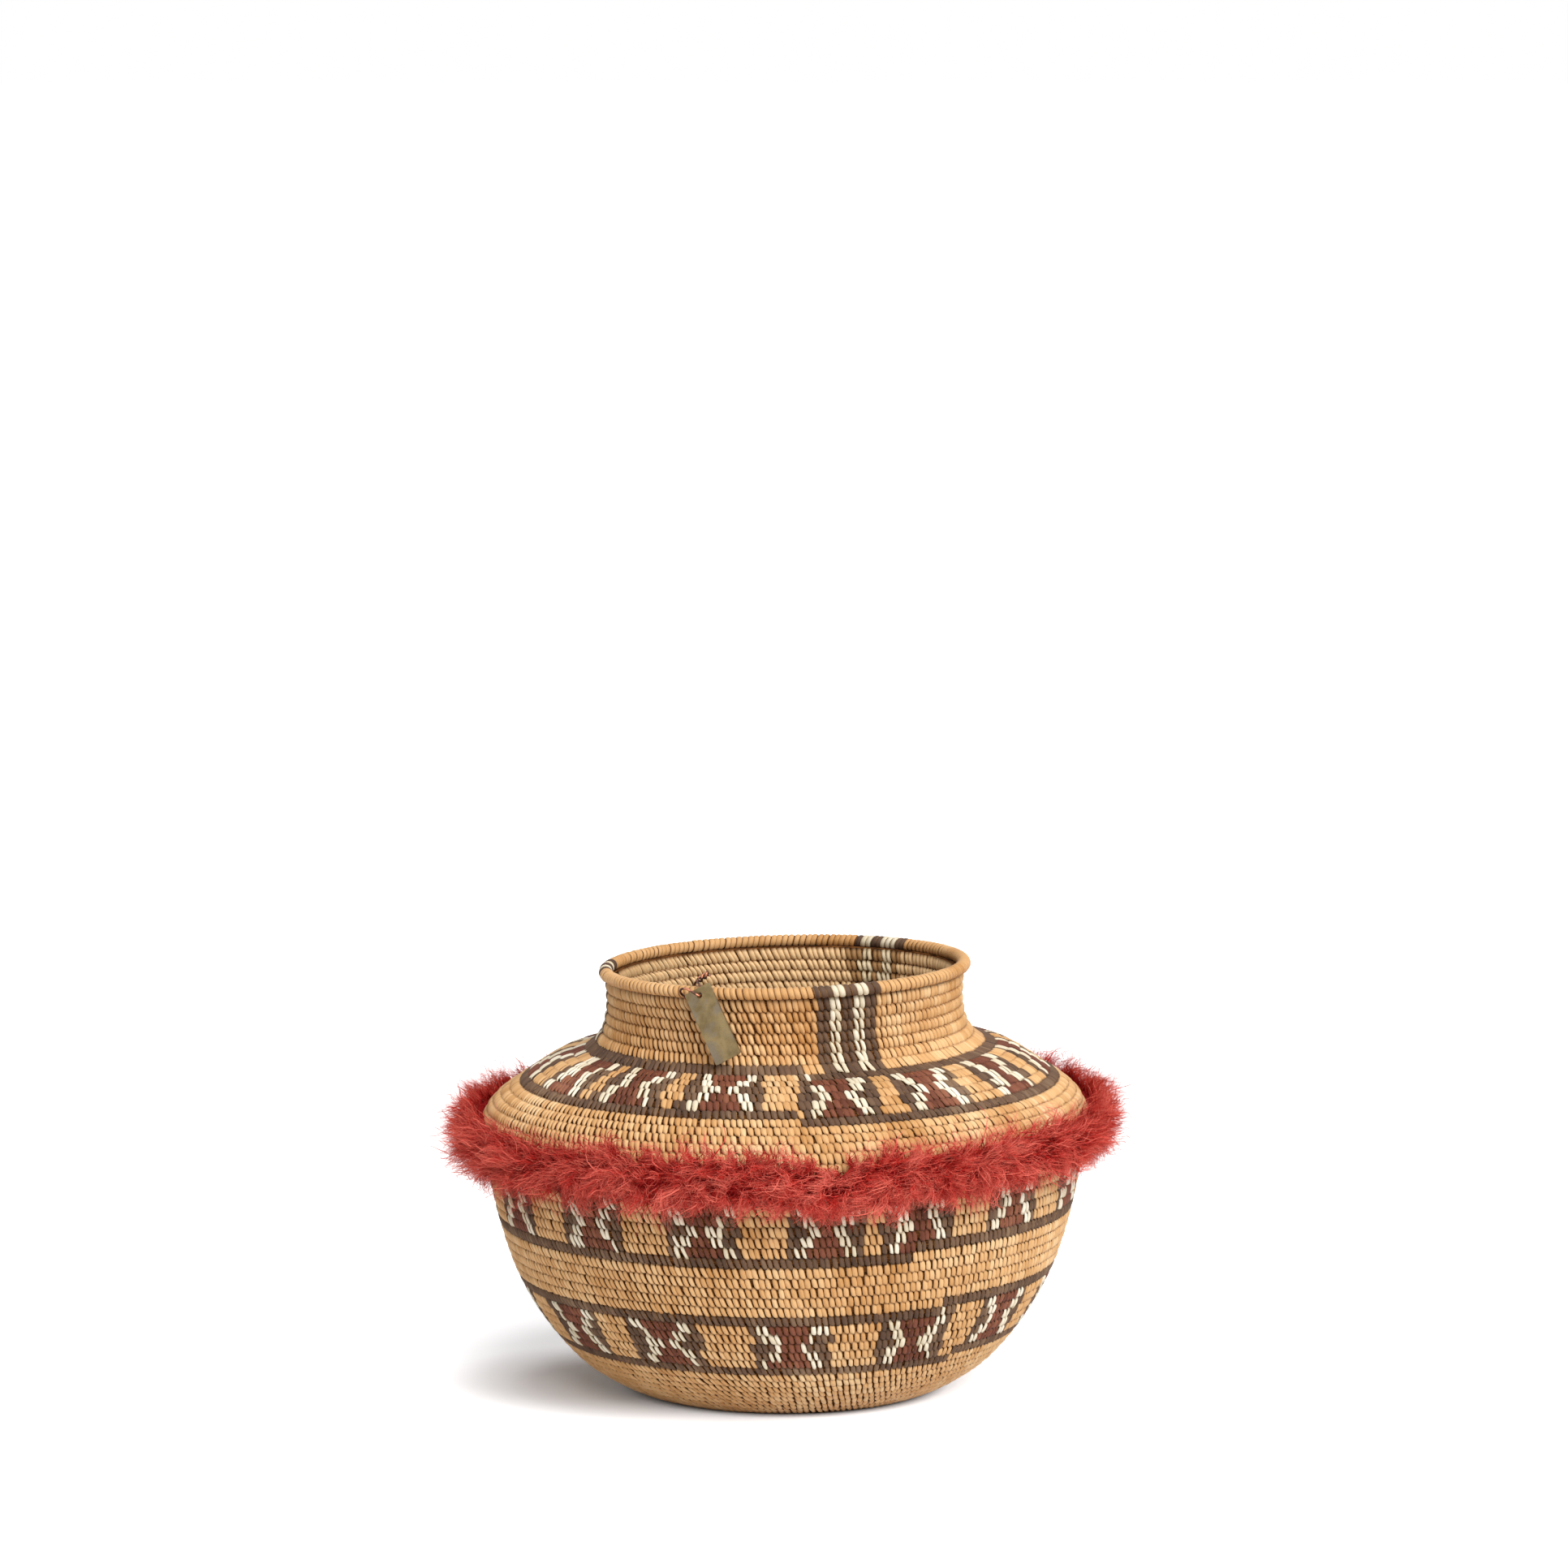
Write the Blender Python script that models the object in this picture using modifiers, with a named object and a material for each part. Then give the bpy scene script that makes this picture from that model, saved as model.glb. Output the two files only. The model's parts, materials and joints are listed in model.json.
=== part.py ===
"""Bottleneck basket: coiled, with a flat base, a rounded body, a wide sloping shoulder and a short neck.

The wall is one coil, wound in rounds from the knot under the base to the rim and sewn round by round.
Each course of rounds between two changes of the sewn pattern is a piece of its own.
A fringe of wool goes round the shoulder, and a brass tag hangs from a wire through the neck.

Metres, +Z up. The front faces -Y, and angles round the basket are counted from the front towards +X.
"""

import math
from typing import NamedTuple

import bmesh
import bpy
from mathutils import Matrix, Vector

MM = 0.001

# Coil and sewing
WALL_THICKNESS = 3.7 * MM
GROOVE_DEPTH = 0.55 * MM
NECK_GROOVE_DEPTH = 1.1 * MM
BASE_CROWN_SHARE = 0.56
NECK_CROWN_SHARE = 0.46
COURSE_GAP = 0.3 * MM
RIM_COIL_DIAMETER = 4.6 * MM
KNOT_RADIUS = 4.6 * MM
SEGMENTS = 32
RIM_SIDES = 12

# The wall's outer line, from the base's edge up: how far out and up each place lies from the last
BASE_RADIUS = 46.5 * MM
FOOT_RUN = 19.1 * MM
FOOT_RISE = 8.0 * MM
LOWER_WALL_RUN = 12.7 * MM
LOWER_WALL_RISE = 12.3 * MM
BELLY_RUN = 12.1 * MM
BELLY_RISE = 19.3 * MM
UPPER_WALL_RUN = 7.1 * MM
UPPER_WALL_RISE = 20.8 * MM
UNDER_SHOULDER_RUN = 4.3 * MM
UNDER_SHOULDER_RISE = 21.6 * MM
SHOULDER_EDGE_RUN = 1.9 * MM
SHOULDER_EDGE_RISE = 10.4 * MM
SHOULDER_TURN_RUN = -1.8 * MM
SHOULDER_TURN_RISE = 4.8 * MM
SHOULDER_LINE_RUN = -13.5 * MM
SHOULDER_LINE_RISE = 11.6 * MM
SHOULDER_TOP_RUN = -10.4 * MM
SHOULDER_TOP_RISE = 6.4 * MM
NECK_LINE_RUN = -12.0 * MM
NECK_LINE_RISE = 4.3 * MM
NECK_FOOT_RUN = -2.7 * MM
NECK_FOOT_RISE = 3.0 * MM
NECK_WAIST_RUN = -2.3 * MM
NECK_WAIST_RISE = 6.5 * MM
NECK_TOP_RUN = -0.1 * MM
NECK_TOP_RISE = 12.2 * MM
RIM_SET_IN = 0.1 * MM

# The basket has settled a little towards its left
LEAN = 2.6 * MM
LEAN_REACH = 100.0 * MM

# Rounds in each course, from the knot to the rim
BASE_ROUND_COUNT = 11
FOOT_ROUND_COUNT = 10
LINE_ROUND_COUNT = 1
LOWER_BAND_ROUND_COUNT = 5
BELLY_ROUND_COUNT = 5
UPPER_BAND_ROUND_COUNT = 5
EDGE_ROUND_COUNT = 3
SHOULDER_ROUND_COUNT = 5
SHOULDER_BAND_ROUND_COUNT = 5
NECK_ROUND_COUNT = 6

# Where the places between two changes of the sewing lie, in rounds or as a share of the rounds between them
FOOT_TURN_SHARE = 0.53
SHOULDER_TURN_SHARE = 0.2167
SHOULDER_TOP_SHARE = 0.5
NECK_FOOT_SHARE = 0.1538
NECK_WAIST_SHARE = 0.46

# Wool fringe
WOOL_THICKNESS = 12.0 * MM
WOOL_CLEARANCE = 0.4 * MM
WOOL_BOTTOM_BELOW_EDGE = 4.3
WOOL_TOP_ABOVE_EDGE = 1.3
WOOL_SEGMENTS = 64
WOOL_SECTION_POINTS = 6
WOOL_TUFTS = 16
WOOL_TUFT_SWELL = 0.06
WOOL_SLOW_SWELL = 0.03
WOOL_JOIN_ANGLE = math.radians(8.7)
WOOL_JOIN_WIDTH = math.radians(6.0)
WOOL_JOIN_DROP = 0.4
WOOL_JOIN_LOWER = 2.2

# Tag
TAG_ANGLE = math.radians(-25.4)
TAG_WIDTH = 10.0 * MM
TAG_LENGTH = 25.8 * MM
TAG_THICKNESS = 0.8 * MM
TAG_CORNER = 0.7 * MM
TAG_HOLE_RADIUS = 1.0 * MM
TAG_HOLE_FROM_TOP = 2.4 * MM
TAG_STAND_OFF = 2.2 * MM
TAG_LEAN_OUT = math.radians(5.0)
TAG_TILT = math.radians(28.0)

# Wire
WIRE_DIAMETER = 0.8 * MM
WIRE_CLEARANCE = 0.35 * MM
WIRE_SLACK = 0.55 * MM
WIRE_SIDE = 5.8 * MM
WIRE_TWIST_LENGTH = 4.4 * MM
WIRE_TWIST_TURNS = 1.25
WIRE_TWIST_GAP = 0.6 * MM
WIRE_TWIST_POINTS = 14
WIRE_ARC_START = math.radians(-35.0)
WIRE_ARC_END = math.radians(-195.0)
WIRE_ARC_POINTS = 15
WIRE_STEPS = 3

# Sizes that follow
RIM_COIL_RADIUS = RIM_COIL_DIAMETER / 2
WIRE_RADIUS = WIRE_DIAMETER / 2
WIRE_LOOP_RADIUS = RIM_COIL_RADIUS + WIRE_SLACK + WIRE_RADIUS
ROUND_PITCH_IN_BASE = (BASE_RADIUS - KNOT_RADIUS) / BASE_ROUND_COUNT

# Colours of the sewing splints and of the rest
TAN = (0.665, 0.386, 0.156)
LIGHT_TAN = (0.730, 0.462, 0.205)
DARK = (0.102, 0.071, 0.054)
RED_BROWN = (0.168, 0.054, 0.034)
WOOL_RED = (0.552, 0.061, 0.061)
BRASS = (0.296, 0.262, 0.138)
COPPER = (0.185, 0.084, 0.052)


def clear_scene():
    """Remove every object, so that the part starts from nothing."""
    for old in list(bpy.data.objects):
        bpy.data.objects.remove(old, do_unlink=True)


def new_collection(name):
    """Make a collection in the scene."""
    made = bpy.data.collections.new(name)
    bpy.context.scene.collection.children.link(made)
    return made


def make_material(name, colour, roughness, metallic=0.0):
    """Make a plain material of one colour."""
    material = bpy.data.materials.new(name)
    material.use_nodes = True
    shader = material.node_tree.nodes["Principled BSDF"]
    shader.inputs["Base Color"].default_value = (*colour, 1.0)
    shader.inputs["Roughness"].default_value = roughness
    shader.inputs["Metallic"].default_value = metallic
    material.diffuse_color = (*colour, 1.0)
    return material


def add_mesh_object(name, mesh, collection, material=None):
    """Put a mesh in the scene as a named object, with its material."""
    made = bpy.data.objects.new(name, mesh)
    collection.objects.link(made)
    if material is not None:
        made.data.materials.append(material)
    return made


# Shape of the wall


def wall_stations():
    """Round number, outer radius and outer height of each place that shapes the wall above the base."""
    foot_line = BASE_ROUND_COUNT + FOOT_ROUND_COUNT + LINE_ROUND_COUNT / 2
    belly_line = foot_line + LINE_ROUND_COUNT + LOWER_BAND_ROUND_COUNT
    upper_line = belly_line + LINE_ROUND_COUNT + BELLY_ROUND_COUNT
    hidden_line = upper_line + LINE_ROUND_COUNT + UPPER_BAND_ROUND_COUNT
    edge = hidden_line + EDGE_ROUND_COUNT
    shoulder_line = edge + LINE_ROUND_COUNT + SHOULDER_ROUND_COUNT
    neck_line = shoulder_line + LINE_ROUND_COUNT + SHOULDER_BAND_ROUND_COUNT
    neck_top = neck_line + LINE_ROUND_COUNT / 2 + NECK_ROUND_COUNT
    shoulder_top = shoulder_line + SHOULDER_TOP_SHARE * (neck_line - shoulder_line)
    steps = [
        (BASE_ROUND_COUNT + FOOT_TURN_SHARE * FOOT_ROUND_COUNT, FOOT_RUN, FOOT_RISE),
        (foot_line, LOWER_WALL_RUN, LOWER_WALL_RISE),
        (belly_line, BELLY_RUN, BELLY_RISE),
        (upper_line, UPPER_WALL_RUN, UPPER_WALL_RISE),
        (hidden_line, UNDER_SHOULDER_RUN, UNDER_SHOULDER_RISE),
        (edge, SHOULDER_EDGE_RUN, SHOULDER_EDGE_RISE),
        (edge + SHOULDER_TURN_SHARE * (shoulder_line - edge), SHOULDER_TURN_RUN, SHOULDER_TURN_RISE),
        (shoulder_line, SHOULDER_LINE_RUN, SHOULDER_LINE_RISE),
        (shoulder_top, SHOULDER_TOP_RUN, SHOULDER_TOP_RISE),
        (neck_line, NECK_LINE_RUN, NECK_LINE_RISE),
        (neck_line + NECK_FOOT_SHARE * (neck_top - neck_line), NECK_FOOT_RUN, NECK_FOOT_RISE),
        (neck_line + NECK_WAIST_SHARE * (neck_top - neck_line), NECK_WAIST_RUN, NECK_WAIST_RISE),
        (neck_top, NECK_TOP_RUN, NECK_TOP_RISE),
    ]
    stations = [(BASE_ROUND_COUNT, BASE_RADIUS, 0.0)]
    for rounds, run, rise in steps:
        stations.append((rounds, stations[-1][1] + run, stations[-1][2] + rise))
    return stations


def edge_round():
    """Round number of the widest coil, at the shoulder's edge."""
    return wall_stations()[6][0]


def station_slopes(stations):
    """Slope of the wall, per round, at each station: level at the base, and smooth through the others."""
    slopes = [Vector((ROUND_PITCH_IN_BASE, 0.0))]
    for before, here, after in zip(stations, stations[1:], stations[2:]):
        step_in = Vector(here[1:]) - Vector(before[1:])
        step_out = Vector(after[1:]) - Vector(here[1:])
        rounds_in = here[0] - before[0]
        rounds_out = after[0] - here[0]
        slope = step_in / rounds_in * rounds_out + step_out / rounds_out * rounds_in
        slopes.append(slope / (rounds_in + rounds_out))
    last = Vector(stations[-1][1:]) - Vector(stations[-2][1:])
    slopes.append(last / (stations[-1][0] - stations[-2][0]))
    return slopes


STATIONS = wall_stations()
SLOPES = station_slopes(STATIONS)
SHOULDER_RADIUS = STATIONS[6][1]
RIM_RADIUS = STATIONS[-1][1] - RIM_SET_IN
RIM_HEIGHT = STATIONS[-1][2] + COURSE_GAP + RIM_COIL_RADIUS
RIM_BEND = WIRE_SIDE * WIRE_SIDE / (2 * RIM_RADIUS)


def outer_point(rounds):
    """Outer radius and height of the wall after that many rounds, with its slope per round."""
    if rounds <= BASE_ROUND_COUNT:
        return Vector((KNOT_RADIUS + rounds * ROUND_PITCH_IN_BASE, 0.0)), Vector((ROUND_PITCH_IN_BASE, 0.0))
    place = 0
    while place < len(STATIONS) - 2 and rounds > STATIONS[place + 1][0]:
        place += 1
    start = STATIONS[place]
    end = STATIONS[place + 1]
    span = end[0] - start[0]
    t = (rounds - start[0]) / span
    p0 = Vector(start[1:])
    p1 = Vector(end[1:])
    m0 = SLOPES[place] * span
    m1 = SLOPES[place + 1] * span
    point = (
        p0 * (2 * t**3 - 3 * t**2 + 1)
        + m0 * (t**3 - 2 * t**2 + t)
        + p1 * (3 * t**2 - 2 * t**3)
        + m1 * (t**3 - t**2)
    )
    slope = (
        p0 * (6 * t**2 - 6 * t)
        + m0 * (3 * t**2 - 4 * t + 1)
        + p1 * (6 * t - 6 * t**2)
        + m1 * (3 * t**2 - 2 * t)
    )
    return point, slope / span


def into_wall(rounds, depth):
    """Radius and height of the point that lies that deep in the wall, square to its outer surface."""
    point, slope = outer_point(rounds)
    along = slope.normalized()
    inward = Vector((-along.y, along.x))
    return point + inward * depth


def leaned(point):
    """Where a point of the upright basket lies once the basket has settled to its left."""
    return Vector((point.x, point.y, point.z + LEAN * (point.x / LEAN_REACH) * (point.z / RIM_HEIGHT)))


# Courses of coil


class CoilForm(NamedTuple):
    """How the rounds of a course stand out from the grooves between them.

    groove is the grooves' depth, crown the share of a round that its level crown takes, and
    ribbed_inside tells whether the rounds stand out on the inner side too.
    """

    groove: float
    crown: float
    ribbed_inside: bool

    def crown_places(self):
        """Where the points of a round's crown lie, as shares of the round, from its lower side up."""
        if self.crown > 0:
            return [0.5 - self.crown / 2, 0.5 + self.crown / 2]
        return [0.5]


WALL_COILS = CoilForm(GROOVE_DEPTH, 0.0, False)
RIBBED_COILS = CoilForm(GROOVE_DEPTH, 0.0, True)
BASE_COILS = CoilForm(GROOVE_DEPTH, BASE_CROWN_SHARE, False)
NECK_COILS = CoilForm(NECK_GROOVE_DEPTH, NECK_CROWN_SHARE, True)


def spin_profile(name, profile, closed, collection, material):
    """Turn a profile of radius and height round the basket's axis with a Screw modifier."""
    mesh = bpy.data.meshes.new(name)
    count = len(profile)
    edges = [(i, i + 1) for i in range(count - 1)]
    if closed:
        edges.append((count - 1, 0))
    mesh.from_pydata([(p.x, 0.0, p.y) for p in profile], edges, [])
    made = add_mesh_object(name, mesh, collection, material)
    screw = made.modifiers.new("Turn", "SCREW")
    screw.angle = math.tau
    screw.steps = SEGMENTS
    screw.render_steps = SEGMENTS
    screw.use_merge_vertices = True
    screw.merge_threshold = 0.00001
    return made


def course_profile(first, last, form):
    """Section of a course of rounds, down the outer side from its last round and up the inner side."""
    length = (outer_point(last)[0] - outer_point(last - 0.01)[0]).length * 100
    trim = COURSE_GAP / 2 / length
    low = first + (trim if first > 0 else COURSE_GAP / ROUND_PITCH_IN_BASE)
    high = last - trim
    rounds = last - first
    outer = []
    inner = []
    for k in range(rounds, -1, -1):
        at = min(max(first + k, low), high)
        outer.append(into_wall(at, form.groove))
        if k > 0:
            outer += [into_wall(first + k - 1 + share, 0.0) for share in reversed(form.crown_places())]
    if form.ribbed_inside:
        for k in range(rounds + 1):
            at = min(max(first + k, low), high)
            inner.append(into_wall(at, WALL_THICKNESS - form.groove))
            if k < rounds:
                inner += [into_wall(first + k + share, WALL_THICKNESS) for share in form.crown_places()]
    else:
        steps = 2 if rounds >= EDGE_ROUND_COUNT and first > 0 else 1
        for k in range(steps + 1):
            inner.append(into_wall(low + (high - low) * k / steps, WALL_THICKNESS - form.groove / 2))
    return outer + inner


def make_course(name, first, rounds, form, collection, material):
    """Make one course of rounds, and return it with the number of the round that it ends at."""
    profile = course_profile(first, first + rounds, form)
    return spin_profile(name, profile, True, collection, material), first + rounds


def make_knot(collection, material):
    """Make the start knot, a small thick disc in the middle of the base."""
    radius = KNOT_RADIUS
    top = WALL_THICKNESS
    profile = [
        Vector((0.0, top)),
        Vector((0.75 * radius, top)),
        Vector((radius, 0.7 * top)),
        Vector((radius, 0.3 * top)),
        Vector((0.8 * radius, 0.0)),
        Vector((0.0, 0.0)),
    ]
    return spin_profile("start_knot", profile, False, collection, material)


def make_rim(collection, material):
    """Make the rim, one thicker round coil on top of the neck."""
    profile = []
    for k in range(RIM_SIDES):
        turn = -math.tau * k / RIM_SIDES
        radius = RIM_RADIUS + RIM_COIL_RADIUS * math.cos(turn)
        profile.append(Vector((radius, RIM_HEIGHT + RIM_COIL_RADIUS * math.sin(turn))))
    return spin_profile("rim_coil", profile, True, collection, material)


def add_lean(pieces, collection):
    """Let the pieces settle to the left with a cage whose top is sheared."""
    reach = SHOULDER_RADIUS + WALL_THICKNESS + WOOL_THICKNESS + WOOL_THICKNESS
    height = RIM_HEIGHT + WOOL_THICKNESS
    cage_data = bpy.data.lattices.new("lean_cage")
    cage_data.points_u = 2
    cage_data.points_v = 2
    cage_data.points_w = 2
    cage_data.interpolation_type_u = "KEY_LINEAR"
    cage_data.interpolation_type_v = "KEY_LINEAR"
    cage_data.interpolation_type_w = "KEY_LINEAR"
    cage = bpy.data.objects.new("lean_cage", cage_data)
    cage.hide_render = True
    cage.display_type = "WIRE"
    collection.objects.link(cage)
    cage.location = (0.0, 0.0, height / 2)
    cage.scale = (2 * reach, 2 * reach, height)
    for point in cage_data.points:
        corner = Vector((point.co.x * 2 * reach, point.co.y * 2 * reach, (point.co.z + 0.5) * height))
        rise = leaned(corner).z - corner.z
        point.co_deform = (point.co.x, point.co.y, point.co.z + rise / height)
    for piece in pieces:
        settle = piece.modifiers.new("Settle", "LATTICE")
        settle.object = cage


# Wool fringe


def wool_section(angle):
    """Radius and height of the points round the wool's section at an angle, wall side first."""
    tuft = 1.0 + WOOL_TUFT_SWELL * math.cos(WOOL_TUFTS * angle) + WOOL_SLOW_SWELL * math.cos(6 * angle)
    off_join = math.remainder(angle - WOOL_JOIN_ANGLE, math.tau) / WOOL_JOIN_WIDTH
    drop = WOOL_JOIN_DROP * math.exp(-off_join * off_join)
    bottom = edge_round() - WOOL_BOTTOM_BELOW_EDGE
    top = edge_round() + WOOL_TOP_ABOVE_EDGE - WOOL_JOIN_LOWER * drop
    thickness = WOOL_THICKNESS * tuft * (1.0 - drop / 2)
    count = WOOL_SECTION_POINTS
    wall_side = []
    for k in range(count + 1):
        wall_side.append(into_wall(bottom + (top - bottom) * k / count, -WOOL_CLEARANCE))
    outer_side = []
    for k in range(count, -1, -1):
        share = k / count
        swell = 0.25 + 0.75 * math.sin(math.pi * (0.12 + 0.76 * share)) ** 0.8
        at = bottom + (top - bottom) * share
        outer_side.append(into_wall(at, -WOOL_CLEARANCE - thickness * swell))
    return wall_side + outer_side


def make_wool(collection, material):
    """Make the wool fringe round the shoulder's edge, as a loft through its sections."""
    shape = bmesh.new()
    rings = []
    for k in range(WOOL_SEGMENTS):
        angle = math.tau * k / WOOL_SEGMENTS
        ring = []
        for p in wool_section(angle):
            ring.append(shape.verts.new((p.x * math.sin(angle), -p.x * math.cos(angle), p.y)))
        rings.append(ring)
    for ring, following in zip(rings, rings[1:] + rings[:1]):
        for k in range(len(ring)):
            after = (k + 1) % len(ring)
            shape.faces.new((ring[k], following[k], following[after], ring[after]))
    bmesh.ops.recalc_face_normals(shape, faces=shape.faces)
    mesh = bpy.data.meshes.new("wool_trim")
    shape.to_mesh(mesh)
    shape.free()
    mesh.shade_smooth()
    return add_mesh_object("wool_trim", mesh, collection, material)


# Wire and tag


def tag_frame():
    """Frame of the rim coil where the tag hangs: along the rim, up and outward, from the coil's centre."""
    outward_flat = Vector((math.sin(TAG_ANGLE), -math.cos(TAG_ANGLE), 0.0))
    centre = leaned(outward_flat * RIM_RADIUS + Vector((0.0, 0.0, RIM_HEIGHT)))
    small = 0.001
    ahead_flat = Vector((math.sin(TAG_ANGLE + small), -math.cos(TAG_ANGLE + small), 0.0))
    behind_flat = Vector((math.sin(TAG_ANGLE - small), -math.cos(TAG_ANGLE - small), 0.0))
    ahead = leaned(ahead_flat * RIM_RADIUS + Vector((0.0, 0.0, RIM_HEIGHT)))
    behind = leaned(behind_flat * RIM_RADIUS + Vector((0.0, 0.0, RIM_HEIGHT)))
    along = (ahead - behind).normalized()
    outward = (outward_flat - along * along.dot(outward_flat)).normalized()
    up = outward.cross(along)
    frame = Matrix((along, up, outward)).transposed().to_4x4()
    frame.translation = centre
    return frame


def tag_matrix():
    """Place of the tag: its hole's centre, its face turned up a little and its lower end to the right."""
    hole = Vector((0.0, 0.0, RIM_COIL_RADIUS + TAG_STAND_OFF))
    turn_up = Matrix.Rotation(-TAG_LEAN_OUT, 4, "X")
    tilt = Matrix.Rotation(TAG_TILT, 4, "Z")
    return tag_frame() @ Matrix.Translation(hole) @ turn_up @ tilt


def smooth_path(points, steps):
    """Points of a smooth curve through the given points, with so many steps between each two."""
    path = []
    count = len(points)
    for k in range(count - 1):
        p0 = points[max(k - 1, 0)]
        p1 = points[k]
        p2 = points[k + 1]
        p3 = points[min(k + 2, count - 1)]
        for step in range(steps):
            t = step / steps
            bend = (2 * p0 - 5 * p1 + 4 * p2 - p3) * t * t + (3 * p1 - p0 - 3 * p2 + p3) * t**3
            path.append(0.5 * (2 * p1 + (p2 - p0) * t + bend))
    path.append(points[-1])
    return path


def wire_path():
    """Centreline of the wire in the tag's frame: one end's twist, the loop round the rim, the other end."""
    loop = WIRE_LOOP_RADIUS
    side = WIRE_SIDE
    twist_radius = WIRE_RADIUS + WIRE_TWIST_GAP / 2
    hole_out = RIM_COIL_RADIUS + TAG_STAND_OFF
    back = hole_out - TAG_THICKNESS / 2 - WIRE_RADIUS - WIRE_CLEARANCE
    front = hole_out + TAG_THICKNESS / 2 + WIRE_RADIUS + WIRE_CLEARANCE
    start = Vector((-0.56 * side, 1.22 * loop, -0.30 * loop))
    along = Vector((0.80, 0.56, -0.22)).normalized()
    level = along.cross(Vector((0.0, 0.0, 1.0))).normalized()
    across = along.cross(level)

    def twisted(phase, share):
        turn = phase - math.tau * WIRE_TWIST_TURNS * share
        offset = level * math.cos(turn) + across * math.sin(turn)
        return start + along * WIRE_TWIST_LENGTH * share + offset * twist_radius

    shares = [k / (WIRE_TWIST_POINTS - 1) for k in range(WIRE_TWIST_POINTS)]
    first_end = [twisted(math.radians(90.0), 1 - share) for share in shares]
    second_end = [twisted(math.radians(270.0), share) for share in shares]
    ring = []
    for k in range(WIRE_ARC_POINTS):
        turn = WIRE_ARC_END + (WIRE_ARC_START - WIRE_ARC_END) * k / (WIRE_ARC_POINTS - 1)
        ring.append(Vector((-side, loop * math.sin(turn), loop * math.cos(turn) - RIM_BEND / 2)))
    inside = [
        first_end[-2],
        first_end[-1],
        Vector((-0.72 * side, 1.20 * loop, -0.62 * loop)),
        Vector((-0.90 * side, 0.88 * loop, -0.84 * loop)),
        Vector((-0.99 * side, 0.56 * loop, -0.97 * loop)),
        ring[0],
        ring[1],
    ]
    outside = [
        ring[-2],
        ring[-1],
        Vector((-1.05 * side, -0.42 * loop, 1.02 * loop)),
        Vector((-1.14 * side, -0.16 * loop, back + 0.30 * MM)),
        Vector((-1.20 * side, 0.12 * loop, hole_out)),
        Vector((-1.16 * side, 0.42 * loop, front - 0.15 * MM)),
        Vector((-0.98 * side, 0.66 * loop, front + 0.25 * MM)),
        Vector((-0.70 * side, 0.66 * loop, front + 0.35 * MM)),
        Vector((-0.40 * side, 0.44 * loop, front + 0.35 * MM)),
        Vector((-0.15 * side, 0.16 * loop, front + 0.20 * MM)),
        Vector((-0.01 * side, 0.00 * loop, front - 0.35 * MM)),
        Vector((0.0, 0.0, hole_out)),
        Vector((0.0, 0.02 * loop, hole_out - 0.6 * MM)),
        Vector((-0.02 * side, 0.17 * loop, back + 0.05 * MM)),
        Vector((-0.06 * side, 0.38 * loop, 0.98 * loop)),
        Vector((-0.14 * side, 0.66 * loop, 0.80 * loop)),
        Vector((-0.25 * side, 0.89 * loop, 0.55 * loop)),
        Vector((-0.39 * side, 1.04 * loop, 0.26 * loop)),
        Vector((-0.53 * side, 1.10 * loop, 0.04 * loop)),
        second_end[0],
        second_end[1],
    ]
    path = first_end[:-2]
    path += smooth_path(inside, WIRE_STEPS)[:-1]
    path += ring[1:-2]
    path += smooth_path(outside, WIRE_STEPS)[:-1]
    path += second_end[1:]
    return path


def wire_self_gap(path):
    """Smallest gap between two stretches of the wire, at points four wires or more apart along it."""
    reached = [0.0]
    for start, end in zip(path, path[1:]):
        reached.append(reached[-1] + (end - start).length)
    smallest = WIRE_LOOP_RADIUS
    for i, here in enumerate(path):
        for j in range(i + 1, len(path)):
            if reached[j] - reached[i] > 4 * WIRE_DIAMETER:
                smallest = min(smallest, (path[j] - here).length)
    return smallest - WIRE_DIAMETER


def make_wire(collection, material):
    """Make the wire as one bent tube from twisted end to twisted end."""
    curve = bpy.data.curves.new("tag_wire", "CURVE")
    curve.dimensions = "3D"
    curve.bevel_depth = WIRE_RADIUS
    curve.bevel_resolution = 2
    curve.use_fill_caps = True
    path = wire_path()
    print(f"the wire keeps {wire_self_gap(path) / MM:.2f} mm clear of itself")
    spline = curve.splines.new("POLY")
    spline.points.add(len(path) - 1)
    for point, place in zip(spline.points, path):
        point.co = (place.x, place.y, place.z + RIM_BEND / 2, 1.0)
    made = bpy.data.objects.new("tag_wire", curve)
    curve.materials.append(material)
    collection.objects.link(made)
    made.matrix_world = tag_frame() @ Matrix.Translation((0.0, 0.0, -RIM_BEND / 2))
    return made


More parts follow.
